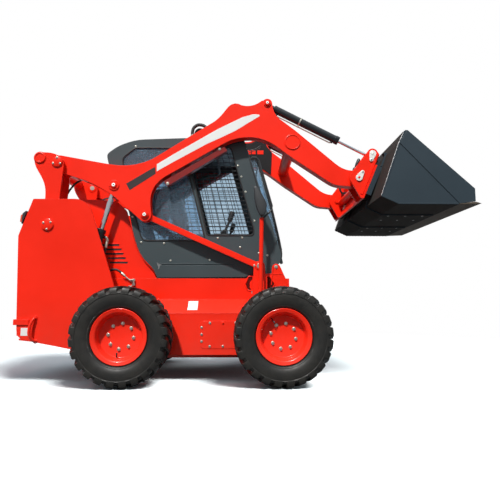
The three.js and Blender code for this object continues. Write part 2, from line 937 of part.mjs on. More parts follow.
// hollow between the cheeks, where the lift rod and the front link work
const armPocket = polygon([
  [-1110, 1700],
  [-1110, 1872],
  [-1000, 1916],
  [-880, 1913],
  [-700, 1885],
  [-560, 1860],
  [-460, 1740],
  [-440, 1560],
  [-440, 1360],
  [-900, 1360],
]);

const ARM_HALF = ARM_THICKNESS / 2;

const armSide = (side) => {
  const y = side * LINK_MID;
  const outside = (reach) => [y + side * (ARM_HALF - 1), y + side * (ARM_HALF + reach)];
  const pocketHalf = EYE_WIDTH / 2 + SIDE_PLAY;
  const eyeHalf = EYE_WIDTH / 2 + SIDE_PLAY;
  let arm = cut(
    slab(armShape(), y - ARM_HALF, y + ARM_HALF, 5),
    slab(armPocket, y - pocketHalf, y + pocketHalf),
    // fork for the tilt cylinder's foot, wider where its barrel dips in
    slab(
      polygon([
        [TILT_FOOT[0] - 56, TILT_FOOT[1] - 50],
        [TILT_FOOT[0] - 56, TILT_FOOT[1] + 90],
        [TILT_FOOT[0] + 120, TILT_FOOT[1] + 90],
        [TILT_FOOT[0] + 120, TILT_FOOT[1] - 140],
        [TILT_FOOT[0] + 50, TILT_FOOT[1] - 120],
      ]),
      y - eyeHalf,
      y + eyeHalf,
    ),
    slab(
      polygon([
        [TILT_FOOT[0] + 30, TILT_FOOT[1] - 40],
        [TILT_FOOT[0] + 46, TILT_FOOT[1] + 20],
        [TILT_FOOT[0] + 120, TILT_FOOT[1] + 20],
        [TILT_FOOT[0] + 120, TILT_FOOT[1] - 140],
        [TILT_FOOT[0] + 36, TILT_FOOT[1] - 108],
      ]),
      y - TILT_BARREL_RADIUS - 4,
      y + TILT_BARREL_RADIUS + 4,
    ),
    cross(LINK_HEAD, PIN_RADIUS + PIN_PLAY, y - 60, y + 60),
    cross(COUPLER_PIVOT, PIN_RADIUS + PIN_PLAY, y - 60, y + 60),
  );
  // hubs fill the forks beside the arm
  const hubReach = (FORK_OUTER - FORK_PLATE - FORK_INNER - FORK_PLATE) / 2 - SIDE_PLAY;
  for (const point of [LINK_HEAD, COUPLER_PIVOT]) {
    const hub = cut(
      cross(point, 52, y - hubReach, y + hubReach),
      cross(point, PIN_RADIUS + PIN_PLAY, y - 90, y + 90),
    );
    arm = arm.add(hub);
  }
  return join(
    arm,
    cross(ARM_HEEL, PIN_RADIUS, y - ARM_HALF - 8, y + ARM_HALF + PIN_HEAD_THICKNESS),
    cross(ARM_HEEL, PIN_HEAD_RADIUS - 8, ...outside(PIN_HEAD_THICKNESS)),
    cross(LIFT_EYE, PIN_HEAD_RADIUS, ...outside(PIN_HEAD_THICKNESS)),
    cross(TILT_FOOT, 20, y - ARM_HALF, y + ARM_HALF + 1),
    cross(TILT_FOOT, 34, ...outside(PIN_HEAD_THICKNESS)),
    cross(ARM_TUBE, 72, ...outside(5)),
  );
};
for (const [name, side] of SIDES) add(`lift_arm_${name}`, armSide(side), red());

const armInner = LINK_MID - ARM_HALF - FIT;
add("arm_cross_tube", cross(ARM_TUBE, 58, -armInner, armInner), red());

// the bar stowed under the right arm, which props the raised arm for service
const safetyProp = () => {
  const y = -LINK_MID;
  const half = 30;
  const under = (x) => 2140 + ((x - 130) * 308) / 520 - 0.4;
  const lugs = [-330, 70].map((x) =>
    slab(
      polygon([
        [x, under(x)],
        [x + 44, under(x + 44)],
        [x + 44, under(x + 44) - 40],
        [x, under(x) - 40],
      ]),
      y - half,
      y + half,
    ),
  );
  return join(
    slab(
      polygon([
        [-400, 1798],
        [152, 2134],
        [184, 2092],
        [-368, 1748],
      ]),
      y - half,
      y + half,
    ),
    ...lugs,
  );
};
add("safety_prop", safetyProp(), darkRed());

// --------------------------------------------------------------- front link

const frontLink = () => {
  const half = FRONT_LINK_DEPTH / 2;
  const turn = angle(ARM_HEEL, FRONT_PIVOT);
  const [ax, az] = ARM_HEEL;
  const [bx, bz] = FRONT_PIVOT;
  const side = [-Math.sin(turn) * half, Math.cos(turn) * half];
  const shape = new THREE.Shape();
  shape.moveTo(ax + side[0], az + side[1]);
  shape.lineTo(bx + side[0], bz + side[1]);
  shape.lineTo(bx - side[0], bz - side[1]);
  shape.lineTo(ax - side[0], az - side[1]);
  shape.closePath();
  const width = EYE_WIDTH / 2;
  return cut(
    join(
      slab(shape, -width, width),
      cross(ARM_HEEL, 42, -width, width),
      cross(FRONT_PIVOT, 40, -width, width),
    ),
    cross(ARM_HEEL, PIN_RADIUS + PIN_PLAY, -60, 60),
    cross(FRONT_PIVOT, PIN_RADIUS + PIN_PLAY, -60, 60),
  );
};
const frontLinkGeometry = toGeometry(frontLink());
for (const [name, side] of SIDES) add(`front_link_${name}`, frontLinkGeometry, red(), [0, side * LINK_MID, 0]);

// ---------------------------------------------------------------- cylinders

const barrel = (foot, eye, radius, rodRadius, length, pinRadius, neck) => {
  const end = along(foot, eye, length);
  const bore = radius - BORE_WALL;
  return cut(
    join(
      cross(foot, EYE_RADIUS, -EYE_WIDTH / 2, EYE_WIDTH / 2),
      bar(along(foot, eye, EYE_RADIUS * 0.4), along(foot, eye, EYE_RADIUS + neck + 10), 0, EYE_WIDTH / 2),
      bar(along(foot, eye, EYE_RADIUS + neck), end, 0, radius, 20),
    ),
    bar(along(foot, eye, EYE_RADIUS + neck + BARREL_CAP), along(foot, eye, length - GLAND), 0, bore, 20),
    bar(along(foot, eye, length - GLAND - 20), along(foot, eye, length + 20), 0, rodRadius + ROD_PLAY, 16),
    cross(foot, pinRadius + PIN_PLAY, -60, 60),
  );
};

const rod = (foot, eye, rodRadius, pistonRadius, inside, pinRadius) => {
  const total = distance(foot, eye);
  return join(
    bar(along(foot, eye, inside), along(foot, eye, total - EYE_RADIUS * 0.5), 0, rodRadius, 16),
    bar(along(foot, eye, inside), along(foot, eye, inside + PISTON_LENGTH), 0, pistonRadius, 16),
    cross(eye, EYE_RADIUS - 2, -EYE_WIDTH / 2, EYE_WIDTH / 2),
  );
};

const LIFT_PISTON_AT = 310;
const TILT_PISTON_AT = 320;
const cylinders = [
  [
    "lift_barrel",
    barrel(LIFT_FOOT, LIFT_EYE, LIFT_BARREL_RADIUS, LIFT_ROD_RADIUS, LIFT_BARREL_LENGTH, PIN_RADIUS, 14),
    blackPaint,
  ],
  [
    "lift_rod",
    rod(LIFT_FOOT, LIFT_EYE, LIFT_ROD_RADIUS, LIFT_BARREL_RADIUS - BORE_WALL - 1, LIFT_PISTON_AT, PIN_RADIUS),
    chrome,
  ],
  [
    "tilt_barrel",
    barrel(TILT_FOOT, TILT_EYE, TILT_BARREL_RADIUS, TILT_ROD_RADIUS, TILT_BARREL_LENGTH, 20, 38),
    blackPaint,
  ],
  [
    "tilt_rod",
    rod(TILT_FOOT, TILT_EYE, TILT_ROD_RADIUS, TILT_BARREL_RADIUS - BORE_WALL - 1, TILT_PISTON_AT, 20),
    chrome,
  ],
];
for (const [piece, solid, material] of cylinders) {
  const geometry = toGeometry(solid);
  for (const [name, side] of SIDES) add(`${piece}_${name}`, geometry, material(), [0, side * LINK_MID, 0]);
}

// ------------------------------------------------------- coupler and bucket

const earShape = () => {
  const [ex, ez] = TILT_EYE;
  const shape = new THREE.Shape();
  shape.absarc(ex, ez, 50, Math.PI * 0.83, Math.PI * 0.15, true);
  shape.lineTo(1592, 2040);
  shape.lineTo(1423, 1645);
  shape.quadraticCurveTo(1412, 1622, 1398, 1646);
  shape.lineTo(1312, 1800);
  shape.quadraticCurveTo(1306, 1850, 1345, 1884);
  shape.closePath();
  return shape;
};

const hitchDirection = [0.394, 0.919];
const hitchNormal = [0.919, -0.394];
const hitchPoint = (up, out) => [
  1592 + hitchDirection[0] * up + hitchNormal[0] * out,
  2040 + hitchDirection[1] * up + hitchNormal[1] * out,
];
const EAR_LENGTH = 430;

const coupler = () => {
  const shape = earShape();
  const plate = slab(
    polygon([
      hitchPoint(-110, 0),
      hitchPoint(-110, 14),
      hitchPoint(-EAR_LENGTH - 20, 14),
      hitchPoint(-EAR_LENGTH - 20, 0),
    ]),
    -HITCH_HALF,
    HITCH_HALF,
  );
  let body = join(
    plate,
    cross([1450, 1800], 40, -(FORK_INNER + 1), FORK_INNER + 1),
    slab(polygon([[1475, 1770], [1535, 1900], [1440, 1830]]), -60, 60),
  );
  for (const [, side] of SIDES) {
    const bossReach = LINK_MID - FORK_INNER - EYE_WIDTH / 2 - SIDE_PLAY;
    body = join(
      body,
      slab(shape, side * (FORK_OUTER - FORK_PLATE), side * FORK_OUTER, 4),
      slab(shape, side * FORK_INNER, side * (FORK_INNER + FORK_PLATE), 4),
      cross(COUPLER_PIVOT, PIN_RADIUS, side * (FORK_INNER - 14), side * (FORK_OUTER + PIN_HEAD_THICKNESS)),
      cross(TILT_EYE, 24, side * (FORK_INNER - 8), side * (FORK_INNER + bossReach)),
      cross(TILT_EYE, 24, side * (FORK_OUTER - bossReach), side * (FORK_OUTER + PIN_HEAD_THICKNESS)),
    );
  }
  return body;
};
add("coupler", coupler(), red());

const bucketShell = () => {
  const t = BUCKET_PLATE;
  const floorFront = BUCKET_LIP - CUTTING_EDGE_DEPTH;
  const shell = polygon([
    BUCKET_TOP,
    [1642, 2021],
    BUCKET_HEEL_REAR,
    BUCKET_HEEL_FRONT,
    [floorFront, BUCKET_FLOOR],
    [floorFront, BUCKET_FLOOR + t],
    [BUCKET_HEEL_FRONT[0] + 3, BUCKET_FLOOR + t],
    [BUCKET_HEEL_REAR[0] + 13, BUCKET_HEEL_REAR[1] + 8],
    [1642 + 12, 2021 - 4],
    [BUCKET_TOP[0] + 26, BUCKET_TOP[1]],
  ]);
  const sidePlate = polygon([
    BUCKET_TOP,
    [BUCKET_TOP[0] + 26, BUCKET_TOP[1]],
    [2271, 1634],
    [2271, 1526],
    [floorFront, BUCKET_FLOOR + 4],
    [floorFront, BUCKET_FLOOR],
    BUCKET_HEEL_FRONT,
    BUCKET_HEEL_REAR,
    [1642, 2021],
  ]);
  const sideCutter = polygon([
    [1650, 2030],
    [BUCKET_TOP[0] + 26, BUCKET_TOP[1]],
    [2271, 1634],
    [2271, 1526],
    [2140, BUCKET_FLOOR + 6],
  ]);
  const outer = BUCKET_HALF;
  let body = slab(shell, -outer + 1, outer - 1);
  for (const [, side] of SIDES) {
    body = join(
      body,
      slab(sidePlate, side * (outer - BUCKET_SIDE), side * (outer - 4)),
      slab(sideCutter, side * (outer - BUCKET_SIDE), side * outer),
      // wear skid round the heel
      slab(
        polygon([
          [1530, 1557],
          [1626, 1511],
          [2100, 1511],
          [2100, 1488],
          [1622, 1488],
          [1466, 1561],
          [1502, 1664],
          [1520, 1662],
        ]),
        side * 210,
        side * 490,
      ),
    );
  }
  // hitch pads that the coupler plate bears on, and the top rail over it
  body = join(
    body,
    slab(
      polygon([hitchPoint(-112, 14 + FIT), hitchPoint(-112, 62), hitchPoint(-400, 62), hitchPoint(-400, 14 + FIT)]),
      -HITCH_HALF,
      HITCH_HALF,
    ),
  );
  // the top rail stops beside the ears, so that the tilt rods pass
  const rail = polygon([hitchPoint(20, 22), hitchPoint(34, 60), hitchPoint(-106, 60), hitchPoint(-106, 44), hitchPoint(0, 40)]);
  const railEnd = FORK_INNER + FORK_PLATE;
  body = join(body, slab(rail, -railEnd, railEnd));
  for (const [, side] of SIDES) body = body.add(slab(rail, side * (FORK_OUTER - FORK_PLATE), side * HITCH_HALF));
  return body;
};
add("bucket", bucketShell(), bucketGrey());

const cuttingEdge = () => {
  const rear = BUCKET_LIP - CUTTING_EDGE_DEPTH + FIT;
  return slab(
    polygon([
      [rear, BUCKET_FLOOR + 0.5],
      [BUCKET_LIP, BUCKET_FLOOR + 8],
      [BUCKET_LIP - 50, BUCKET_FLOOR + CUTTING_EDGE_THICKNESS],
      [rear, BUCKET_FLOOR + 3.5],
    ]),
    -BUCKET_HALF,
    BUCKET_HALF,
  );
};
add("cutting_edge", cuttingEdge(), steel());

// ------------------------------------------------------------------- wheels

// Lathe profiles turn about Y; negative y is the outer face of a right wheel.
const lathe = (points, segments) =>
  toSolid(new THREE.LatheGeometry(points.map(([r, y]) => new THREE.Vector2(r, y)), segments));

const W = TYRE_WIDTH / 2;
const tyreSolid = () => {
  const bead = RIM_SEAT_RADIUS + FIT + 1;
  const lip = RIM_FLANGE_RADIUS + 3;
  const inside = W - 24 - RIM_FLANGE_WIDTH - 1;
  return lathe(
    [
      [bead, -inside],
      [lip, -inside],
      [285, -W + 4],
      [345, -W],
      [TYRE_RADIUS - 32, -W + 14],
      [TYRE_RADIUS - 10, -W + 45],
      [TYRE_RADIUS, -W + 90],
      [TYRE_RADIUS, W - 90],
      [TYRE_RADIUS - 10, W - 45],
      [TYRE_RADIUS - 32, W - 14],
      [345, W],
      [285, W - 4],
      [lip, inside],
      [bead, inside],
      [bead, -inside],
    ],
    36,
  );
};

const rimSolid = () => {
  const edge = W - 24;
  const seat = RIM_SEAT_RADIUS;
  const discFace = -(W - RIM_DISC_DEPTH);
  const hubEnd = CASE_HALF + AXLE_HOUSING_REACH + WHEEL_HUB_GAP - TRACK_HALF;
  return lathe(
    [
      [0, discFace],
      [seat - 38, discFace],
      [seat - 22, discFace - 30],
      [seat - 10, -edge],
      [RIM_FLANGE_RADIUS, -edge],
      [RIM_FLANGE_RADIUS, -edge + RIM_FLANGE_WIDTH],
      [seat, -edge + RIM_FLANGE_WIDTH],
      [seat, edge - RIM_FLANGE_WIDTH],
      [RIM_FLANGE_RADIUS, edge - RIM_FLANGE_WIDTH],
      [RIM_FLANGE_RADIUS, edge],
      [seat - 10, edge],
      [seat - 10, discFace + RIM_DISC_THICKNESS],
      [WHEEL_HUB_RADIUS, discFace + RIM_DISC_THICKNESS],
      [WHEEL_HUB_RADIUS, -hubEnd],
      [0, -hubEnd],
    ],
    24,
  );
};

const tyreGeometry = toGeometry(tyreSolid());
const rimGeometry = toGeometry(rimSolid());
const wheelPlaces = [
  ["front_right", WHEELBASE / 2, -1],
  ["front_left", WHEELBASE / 2, 1],
  ["rear_right", -WHEELBASE / 2, -1],
  ["rear_left", -WHEELBASE / 2, 1],
];
for (const [name, x, side] of wheelPlaces) {
  add(`tyre_${name}`, tyreGeometry, rubber(), [x, side * TRACK_HALF, TYRE_RADIUS]);
  add(`rim_${name}`, rimGeometry, red(), [x, side * TRACK_HALF, TYRE_RADIUS]);
  if (side > 0) frame.children.at(-1).rotation.z = Math.PI;
}

export default machine;
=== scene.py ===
"""Skid steer loader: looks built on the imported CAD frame.

Record frame: X forward, Y to the machine's left, Z up. at(x, y, z) takes
millimetres of a side view whose x = 0 lies halfway between the axles. Radii,
profiles for lathe() and bevels are in metres.
"""

import json
import math

import bmesh
import bpy
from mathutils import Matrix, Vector


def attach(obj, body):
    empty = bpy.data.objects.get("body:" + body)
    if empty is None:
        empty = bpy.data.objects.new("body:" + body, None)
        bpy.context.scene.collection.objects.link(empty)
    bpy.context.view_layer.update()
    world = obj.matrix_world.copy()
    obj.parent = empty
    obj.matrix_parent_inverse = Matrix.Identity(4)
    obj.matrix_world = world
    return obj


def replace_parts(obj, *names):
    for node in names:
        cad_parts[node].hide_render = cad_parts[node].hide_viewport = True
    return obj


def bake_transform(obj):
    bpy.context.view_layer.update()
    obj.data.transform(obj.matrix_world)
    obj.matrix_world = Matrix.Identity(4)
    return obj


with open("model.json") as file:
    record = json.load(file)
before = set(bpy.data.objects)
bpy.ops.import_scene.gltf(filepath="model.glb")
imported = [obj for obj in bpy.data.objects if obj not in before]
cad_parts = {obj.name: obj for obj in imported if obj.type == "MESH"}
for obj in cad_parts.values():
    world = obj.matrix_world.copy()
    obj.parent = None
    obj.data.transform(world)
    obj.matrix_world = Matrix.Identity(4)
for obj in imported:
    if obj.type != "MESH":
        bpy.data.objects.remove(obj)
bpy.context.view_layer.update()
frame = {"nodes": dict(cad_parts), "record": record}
nodes = frame["nodes"]
X0 = -0.33  # side-view zero in the record frame
SIDES = (("right", -1), ("left", 1))

# ------------------------------------------------------------------ materials


def material(name, color, rough=0.5, metal=0.0, coat=0.0, spec=0.5):
    m = bpy.data.materials.new(name)
    m.use_nodes = True
    b = m.node_tree.nodes["Principled BSDF"]
    b.inputs["Base Color"].default_value = (*color, 1)
    b.inputs["Roughness"].default_value = rough
    b.inputs["Metallic"].default_value = metal
    b.inputs["Coat Weight"].default_value = coat
    b.inputs["Coat Roughness"].default_value = 0.12
    b.inputs["Specular IOR Level"].default_value = spec
    return m


class Graph:
    """Small helper around one material's node tree."""

    def __init__(self, mat):
        self.t = mat.node_tree
        self.bsdf = self.t.nodes["Principled BSDF"]
        self.pos = self.node("TexCoord").outputs["Object"]
        self.soft = None

    def node(self, kind, **values):
        n = self.t.nodes.new("ShaderNode" + kind)
        for k, v in values.items():
            setattr(n, k, v)
        return n

    def link(self, a, b):
        self.t.links.new(a, b)

    def value(self, socket, v):
        if hasattr(v, "links"):
            self.link(v, socket)
        else:
            socket.default_value = v

    def noise(self, scale, detail=4.0, rough=0.55, vector=None):
        n = self.node("TexNoise")
        n.inputs["Scale"].default_value = scale
        n.inputs["Detail"].default_value = detail
        n.inputs["Roughness"].default_value = rough
        self.link(vector or self.pos, n.inputs["Vector"])
        return n.outputs["Fac"]

    def ramp(self, fac, stops):
        n = self.node("ValToRGB")
        n.color_ramp.elements[0].position = stops[0][0]
        n.color_ramp.elements[1].position = stops[-1][0]
        for p, _ in stops[1:-1]:
            n.color_ramp.elements.new(p)
        for e, (p, c) in zip(n.color_ramp.elements, stops):
            e.position = p
            e.color = (*c, 1) if hasattr(c, "__len__") else (c, c, c, 1)
        self.link(fac, n.inputs["Fac"])
        return n.outputs["Color"]

    def math(self, op, a, b=0.0, clamp=False):
        n = self.node("Math", operation=op, use_clamp=clamp)
        self.value(n.inputs[0], a)
        self.value(n.inputs[1], b)
        return n.outputs[0]

    def mix(self, fac, a, b):
        n = self.node("Mix", data_type="RGBA")
        self.value(n.inputs[0], fac)
        for socket, v in ((n.inputs[6], a), (n.inputs[7], b)):
            if hasattr(v, "links"):
                self.link(v, socket)
            else:
                socket.default_value = (*v, 1)
        return n.outputs[2]

    def split(self):
        n = self.node("SeparateXYZ")
        self.link(self.pos, n.inputs[0])
        return n.outputs

    def edges(self, radius=0.003):
        """Rounds the look of sharp plate edges and returns a mask of them."""
        self.soft = self.node("Bevel", samples=4)
        self.soft.inputs["Radius"].default_value = radius
        geo = self.node("NewGeometry")
        dot = self.node("VectorMath", operation="DOT_PRODUCT")
        self.link(self.soft.outputs[0], dot.inputs[0])
        self.link(geo.outputs["Normal"], dot.inputs[1])
        return self.ramp(dot.outputs["Value"], [(0.8, 1.0), (0.97, 0.0)])

    def bump(self, height, strength=0.2, distance=0.001):
        n = self.node("Bump")
        n.inputs["Strength"].default_value = strength
        n.inputs["Distance"].default_value = distance
        self.link(height, n.inputs["Height"])
        if self.soft:
            self.link(self.soft.outputs[0], n.inputs["Normal"])
        self.link(n.outputs[0], self.bsdf.inputs["Normal"])

    def color(self, c):
        self.link(c, self.bsdf.inputs["Base Color"])

    def rough(self, r):
        self.link(r, self.bsdf.inputs["Roughness"])


def enamel(name, color, dust=0.5, rough=0.3, coat=0.35, worn=None, rub=0.5, spec=0.4, shade_under=None):
    """Painted plate: orange peel, a slight shade drift, dust low down and, if asked, painted shade on faces
    turned down or back.
    """
    m = material(name, color, rough, coat=coat, spec=spec)
    g = Graph(m)
    edge = g.edges()
    drift = g.noise(1.6, 3)
    dark = tuple(c * 0.9 for c in color)
    light = tuple(min(1, c * 1.06 + 0.004) for c in color)
    base = g.ramp(drift, [(0.3, dark), (0.7, light)])
    z = g.split()[2]
    low = g.math("SUBTRACT", 1.0, g.math("DIVIDE", z, 0.75), True)
    grime = g.math("MULTIPLY", g.math("MULTIPLY", low, g.noise(9, 6, 0.7)), dust, True)
    base = g.mix(grime, base, (0.17, 0.13, 0.1))
    if worn:
        spots = g.ramp(g.noise(38, 8, 0.75), [(0.66, 0.0), (0.7, 1.0)])
        base = g.mix(g.math("MULTIPLY", spots, 0.6), base, worn)
    # faces turned down or back get a darker brown: painted shade, and there the gloss and coat drop away
    if shade_under:
        sep = g.node("SeparateXYZ")
        g.link(g.node("TexCoord").outputs["Normal"], sep.inputs[0])
        low = g.math("MAXIMUM", g.math("LESS_THAN", sep.outputs[2], -0.35),
                     g.math("LESS_THAN", sep.outputs[0], -0.5))
        painted_shade = g.ramp(g.noise(6, 7, 0.7), [(0.3, tuple(c * 0.6 for c in shade_under)), (0.7, shade_under)])
        base = g.mix(low, base, painted_shade)
    chips = g.math("MULTIPLY", edge, g.ramp(g.noise(30, 6, 0.7), [(0.48, 0.0), (0.62, 1.0)]))
    base = g.mix(g.math("MULTIPLY", chips, rub), base, tuple(min(1, c * 1.5 + 0.05) for c in color))
    g.color(base)
    gloss = g.math("ADD", g.math("MULTIPLY", g.noise(24, 5), 0.12), rough - 0.04)
    if shade_under:
        gloss = g.math("MAXIMUM", gloss, g.math("MULTIPLY", low, 0.95))
        g.link(g.math("MULTIPLY", g.math("SUBTRACT", 1.0, low), coat), g.bsdf.inputs["Coat Weight"])
    g.rough(gloss)
    g.bump(g.noise(420, 2), 0.12, 0.0006)
    return m


RED = (0.95, 0.019, 0.003)
mat_red = enamel("body_red", RED, 0.3, rough=0.3, coat=0.1, spec=0.22)
# the arm's brace: a darker copy of the body red, which paints in the shade it sits in under the arm
mat_prop_shade = enamel("prop_red", (0.22, 0.01, 0.008), 0.3, spec=0.3)
# a dark red plate standing for the shade inside an opening: painted shade
mat_opening_shade = enamel("opening_shade_red", (0.095, 0.0035, 0.002), 0.1, rough=0.6, coat=0.0, spec=0.1)
mat_cab = enamel("cab_grey", (0.046, 0.062, 0.068), 0.2, rough=0.38, coat=0.1, spec=0.35)
# the bucket's faces turned down or back get painted shade
mat_bucket = enamel("bucket_grey", (0.021, 0.036, 0.048), 0.15, rough=0.42, coat=0.08,
                    worn=(0.06, 0.07, 0.08), spec=0.35,
                    shade_under=(0.016, 0.013, 0.01))
mat_cyl = enamel("cylinder_black", (0.01, 0.014, 0.018), 0.0, rough=0.32, coat=0.15)


def bare_steel():
    m = material("bare_steel", (0.36, 0.36, 0.37), 0.42, 1.0)
    g = Graph(m)
    g.color(g.ramp(g.noise(14, 8, 0.7), [(0.3, (0.22, 0.215, 0.21)), (0.7, (0.45, 0.45, 0.46))]))
    g.rough(g.ramp(g.noise(30, 5), [(0.3, 0.3), (0.7, 0.55)]))
    g.bump(g.noise(90, 6), 0.15, 0.0008)
    return m


def plated(name, color, rough):
    m = material(name, color, rough, 1.0)
    g = Graph(m)
    g.rough(g.ramp(g.noise(55, 4), [(0.3, max(0.04, rough - 0.06)), (0.7, rough + 0.08)]))
    return m


def tyre_rubber():
    m = material("tyre_rubber", (0.018, 0.018, 0.019), 0.5, spec=0.45)
    g = Graph(m)
    fine = g.noise(160, 4)
    dusty = g.ramp(g.noise(7, 7, 0.7), [(0.35, (0.0065, 0.0065, 0.006)), (0.78, (0.021, 0.019, 0.015))])
    g.color(dusty)
    g.rough(g.ramp(g.noise(20, 5), [(0.3, 0.4), (0.7, 0.6)]))
    g.bump(fine, 0.3, 0.0008)
    return m


def plastic(name, color, rough=0.5):
    m = material(name, color, rough)
    g = Graph(m)
    g.color(g.ramp(g.noise(6, 4), [(0.3, tuple(c * 0.85 for c in color)),
                                   (0.7, tuple(c * 1.2 for c in color))]))
    g.bump(g.noise(600, 3), 0.25, 0.0004)
    return m


def vinyl():
    m = material("seat_fabric", (0.02, 0.02, 0.022), 0.5)
    g = Graph(m)
    v = g.node("TexVoronoi")
    v.inputs["Scale"].default_value = 420
    g.link(g.pos, v.inputs["Vector"])
    g.color(g.ramp(g.noise(12, 5), [(0.3, (0.014, 0.014, 0.015)), (0.7, (0.03, 0.03, 0.032))]))
    g.rough(g.ramp(g.noise(40, 3), [(0.3, 0.42), (0.7, 0.58)]))
    g.bump(v.outputs["Distance"], 0.35, 0.0005)
    return m


def lens(name, color):
    m = material(name, color, 0.12, coat=0.6)
    g = Graph(m)
    w = g.node("TexWave", wave_type="BANDS", bands_direction="Z")
    w.inputs["Scale"].default_value = 60
    g.link(g.pos, w.inputs["Vector"])
    g.bump(w.outputs["Fac"], 0.5, 0.001)
    g.color(g.ramp(w.outputs["Fac"], [(0.0, tuple(c * 0.7 for c in color)), (1.0, color)]))
    return m


def glass():
    """Tinted safety glass; the blue base colour tints what passes through, and the untransmitted tenth paints
    a pale blue reflection on the pane.
    """
    m = material("clear_glass", (0.42, 0.56, 0.68), 0.03)
    b = m.node_tree.nodes["Principled BSDF"]
    b.inputs["Transmission Weight"].default_value = 0.9
    b.inputs["IOR"].default_value = 1.4
    g = Graph(m)
    g.color(g.ramp(g.noise(5, 5, 0.6), [(0.3, (0.38, 0.54, 0.68)), (0.7, (0.5, 0.66, 0.8))]))
    g.rough(g.ramp(g.noise(3, 6, 0.7), [(0.4, 0.01), (0.8, 0.07)]))
    return m


mat_steel = bare_steel()
mat_zinc = plated("zinc_plate", (0.5, 0.49, 0.43), 0.42)
mat_chrome = plated("rod_chrome", (0.83, 0.84, 0.86), 0.1)
mat_tyre = tyre_rubber()
mat_plastic = plastic("black_plastic", (0.022, 0.024, 0.027))
mat_hose = plastic("hose_rubber", (0.016, 0.016, 0.017), 0.6)
mat_vinyl = vinyl()
mat_lamp = lens("lamp_red", (0.95, 0.09, 0.012))
mat_glass = glass()
mat_wire = enamel("guard_wire", (0.03, 0.035, 0.038), 0.0, rough=0.4, coat=0.1)
mat_liner = enamel("liner_black", (0.006, 0.006, 0.007), 0.0, rough=0.6, coat=0.0, spec=0.2)
mat_pale = plated("pin_steel", (0.86, 0.85, 0.81), 0.55)
mat_edge = enamel("worn_edge", (0.09, 0.07, 0.052), 0.0, rough=0.62, coat=0.0, spec=0.25,
                  worn=(0.22, 0.2, 0.17))
mat_white = enamel("white_film", (0.82, 0.82, 0.8), 0.1, rough=0.3, coat=0.2)
mat_dark_film = enamel("dark_film", (0.03, 0.02, 0.02), 0.0, rough=0.35, coat=0.2)

# the record's slots and their materials; FINISH says which slot each material belongs to, apart from the worn
# edge and the white and dark films
SLOT = {
    "body_red": mat_red, "prop_red": mat_prop_shade, "cab_grey": mat_cab, "bucket_grey": mat_bucket,
    "cylinder_black": mat_cyl, "rod_chrome": mat_chrome, "bare_steel": mat_steel, "tyre_rubber": mat_tyre,
    "black_plastic": mat_plastic, "seat_fabric": mat_vinyl, "lamp_red": mat_lamp, "clear_glass": mat_glass,
}
FINISH = {mat: slot for slot, mat in SLOT.items()}
FINISH.update({mat_opening_shade: "body_red", mat_zinc: "bare_steel", mat_pale: "bare_steel", mat_wire: "bare_steel",
               mat_hose: "black_plastic", mat_liner: "black_plastic"})
for part in frame["record"]["subparts"]:
    obj = nodes[part["node"]]
    obj.data.materials.clear()
    obj.data.materials.append(mat_edge if part["node"] == "cutting_edge" else SLOT[part["material_slot"]])

# ------------------------------------------------------------- mesh helpers

MM = 0.001


def at(x, y, z):
    """Side-view millimetres in the record frame, in metres."""
    return Vector((x * MM + X0, y * MM, z * MM))


def meshes(count):
    return [bmesh.new() for _ in range(count)]


def skin(bm, rings, cap=True, closed=False):
    """Quads between rings of points; closed joins the last ring to the first."""
    rows = [[bm.verts.new(p) for p in ring] for ring in rings]
    pairs = list(zip(rows, rows[1:])) + ([(rows[-1], rows[0])] if closed else [])
    for a, b in pairs:
        n = len(a)
        for i in range(n):
            bm.faces.new((a[i], a[(i + 1) % n], b[(i + 1) % n], b[i]))
    if cap and not closed:
        bm.faces.new(rows[0][::-1])
        bm.faces.new(rows[-1])


def frame_of(axis):
    axis = axis.normalized()
    u = axis.orthogonal().normalized()
    return axis, u, axis.cross(u)


def lathe(bm, centre, axis, profile, n=24, closed=False):
    """Turns (radius, height) points about an axis through centre, in metres."""
    axis, u, v = frame_of(Vector(axis))
    rings = []
    for r, h in profile:
        r = max(r, 0.0002)
        rings.append([centre + axis * h + (u * math.cos(t) + v * math.sin(t)) * r
                      for t in (2 * math.pi * i / n for i in range(n))])
    skin(bm, rings, closed=closed)


def tube(bm, points, radius, n=10, closed=False):
    points = [Vector(p) for p in points]
    count = len(points)
    normal = None
    rings = []
    for i, p in enumerate(points):
        a = points[i - 1] if i or closed else p
        b = points[(i + 1) % count] if i < count - 1 or closed else p
        way = (b - a).normalized()
        if normal is None:
            normal = way.orthogonal().normalized()
        normal = (normal - way * normal.dot(way)).normalized()
        side = way.cross(normal)
        r = radius[i] if hasattr(radius, "__len__") else radius
        rings.append([p + (normal * math.cos(t) + side * math.sin(t)) * r
                      for t in (2 * math.pi * k / n for k in range(n))])
    skin(bm, rings, closed=closed)


def curve_points(points, steps=6, closed=False):
    """Catmull-Rom points through the given ones."""
    pts = [Vector(p) for p in points]
    n = len(pts)
    out = []
    for i in range(n if closed else n - 1):
        p0 = pts[(i - 1) % n] if closed or i else pts[0] * 2 - pts[1]
        p1, p2 = pts[i], pts[(i + 1) % n]
        p3 = pts[(i + 2) % n] if closed or i + 2 < n else p2 * 2 - p1
        for k in range(steps):
            t = k / steps
            out.append(0.5 * (2 * p1 + (p2 - p0) * t + (2 * p0 - 5 * p1 + 4 * p2 - p3) * t * t
                              + (3 * p1 - p0 - 3 * p2 + p3) * t ** 3))
    if not closed:
        out.append(pts[-1])
    return out


def plug(r, low, high):
    """Profile for lathe(): a plain cylinder with a flat end."""
    return [(r, low), (r, high), (0, high)]


def disc(r, low, high, end_r, end):
    """Profile for lathe(): a cylinder whose edge slopes in to a flat end."""
    return [(r, low), (r, high), (end_r, end), (0, end)]


def flat(points, y):
    """Side-view points in the plane y."""
    return [at(x, y, z) for x, z in points]


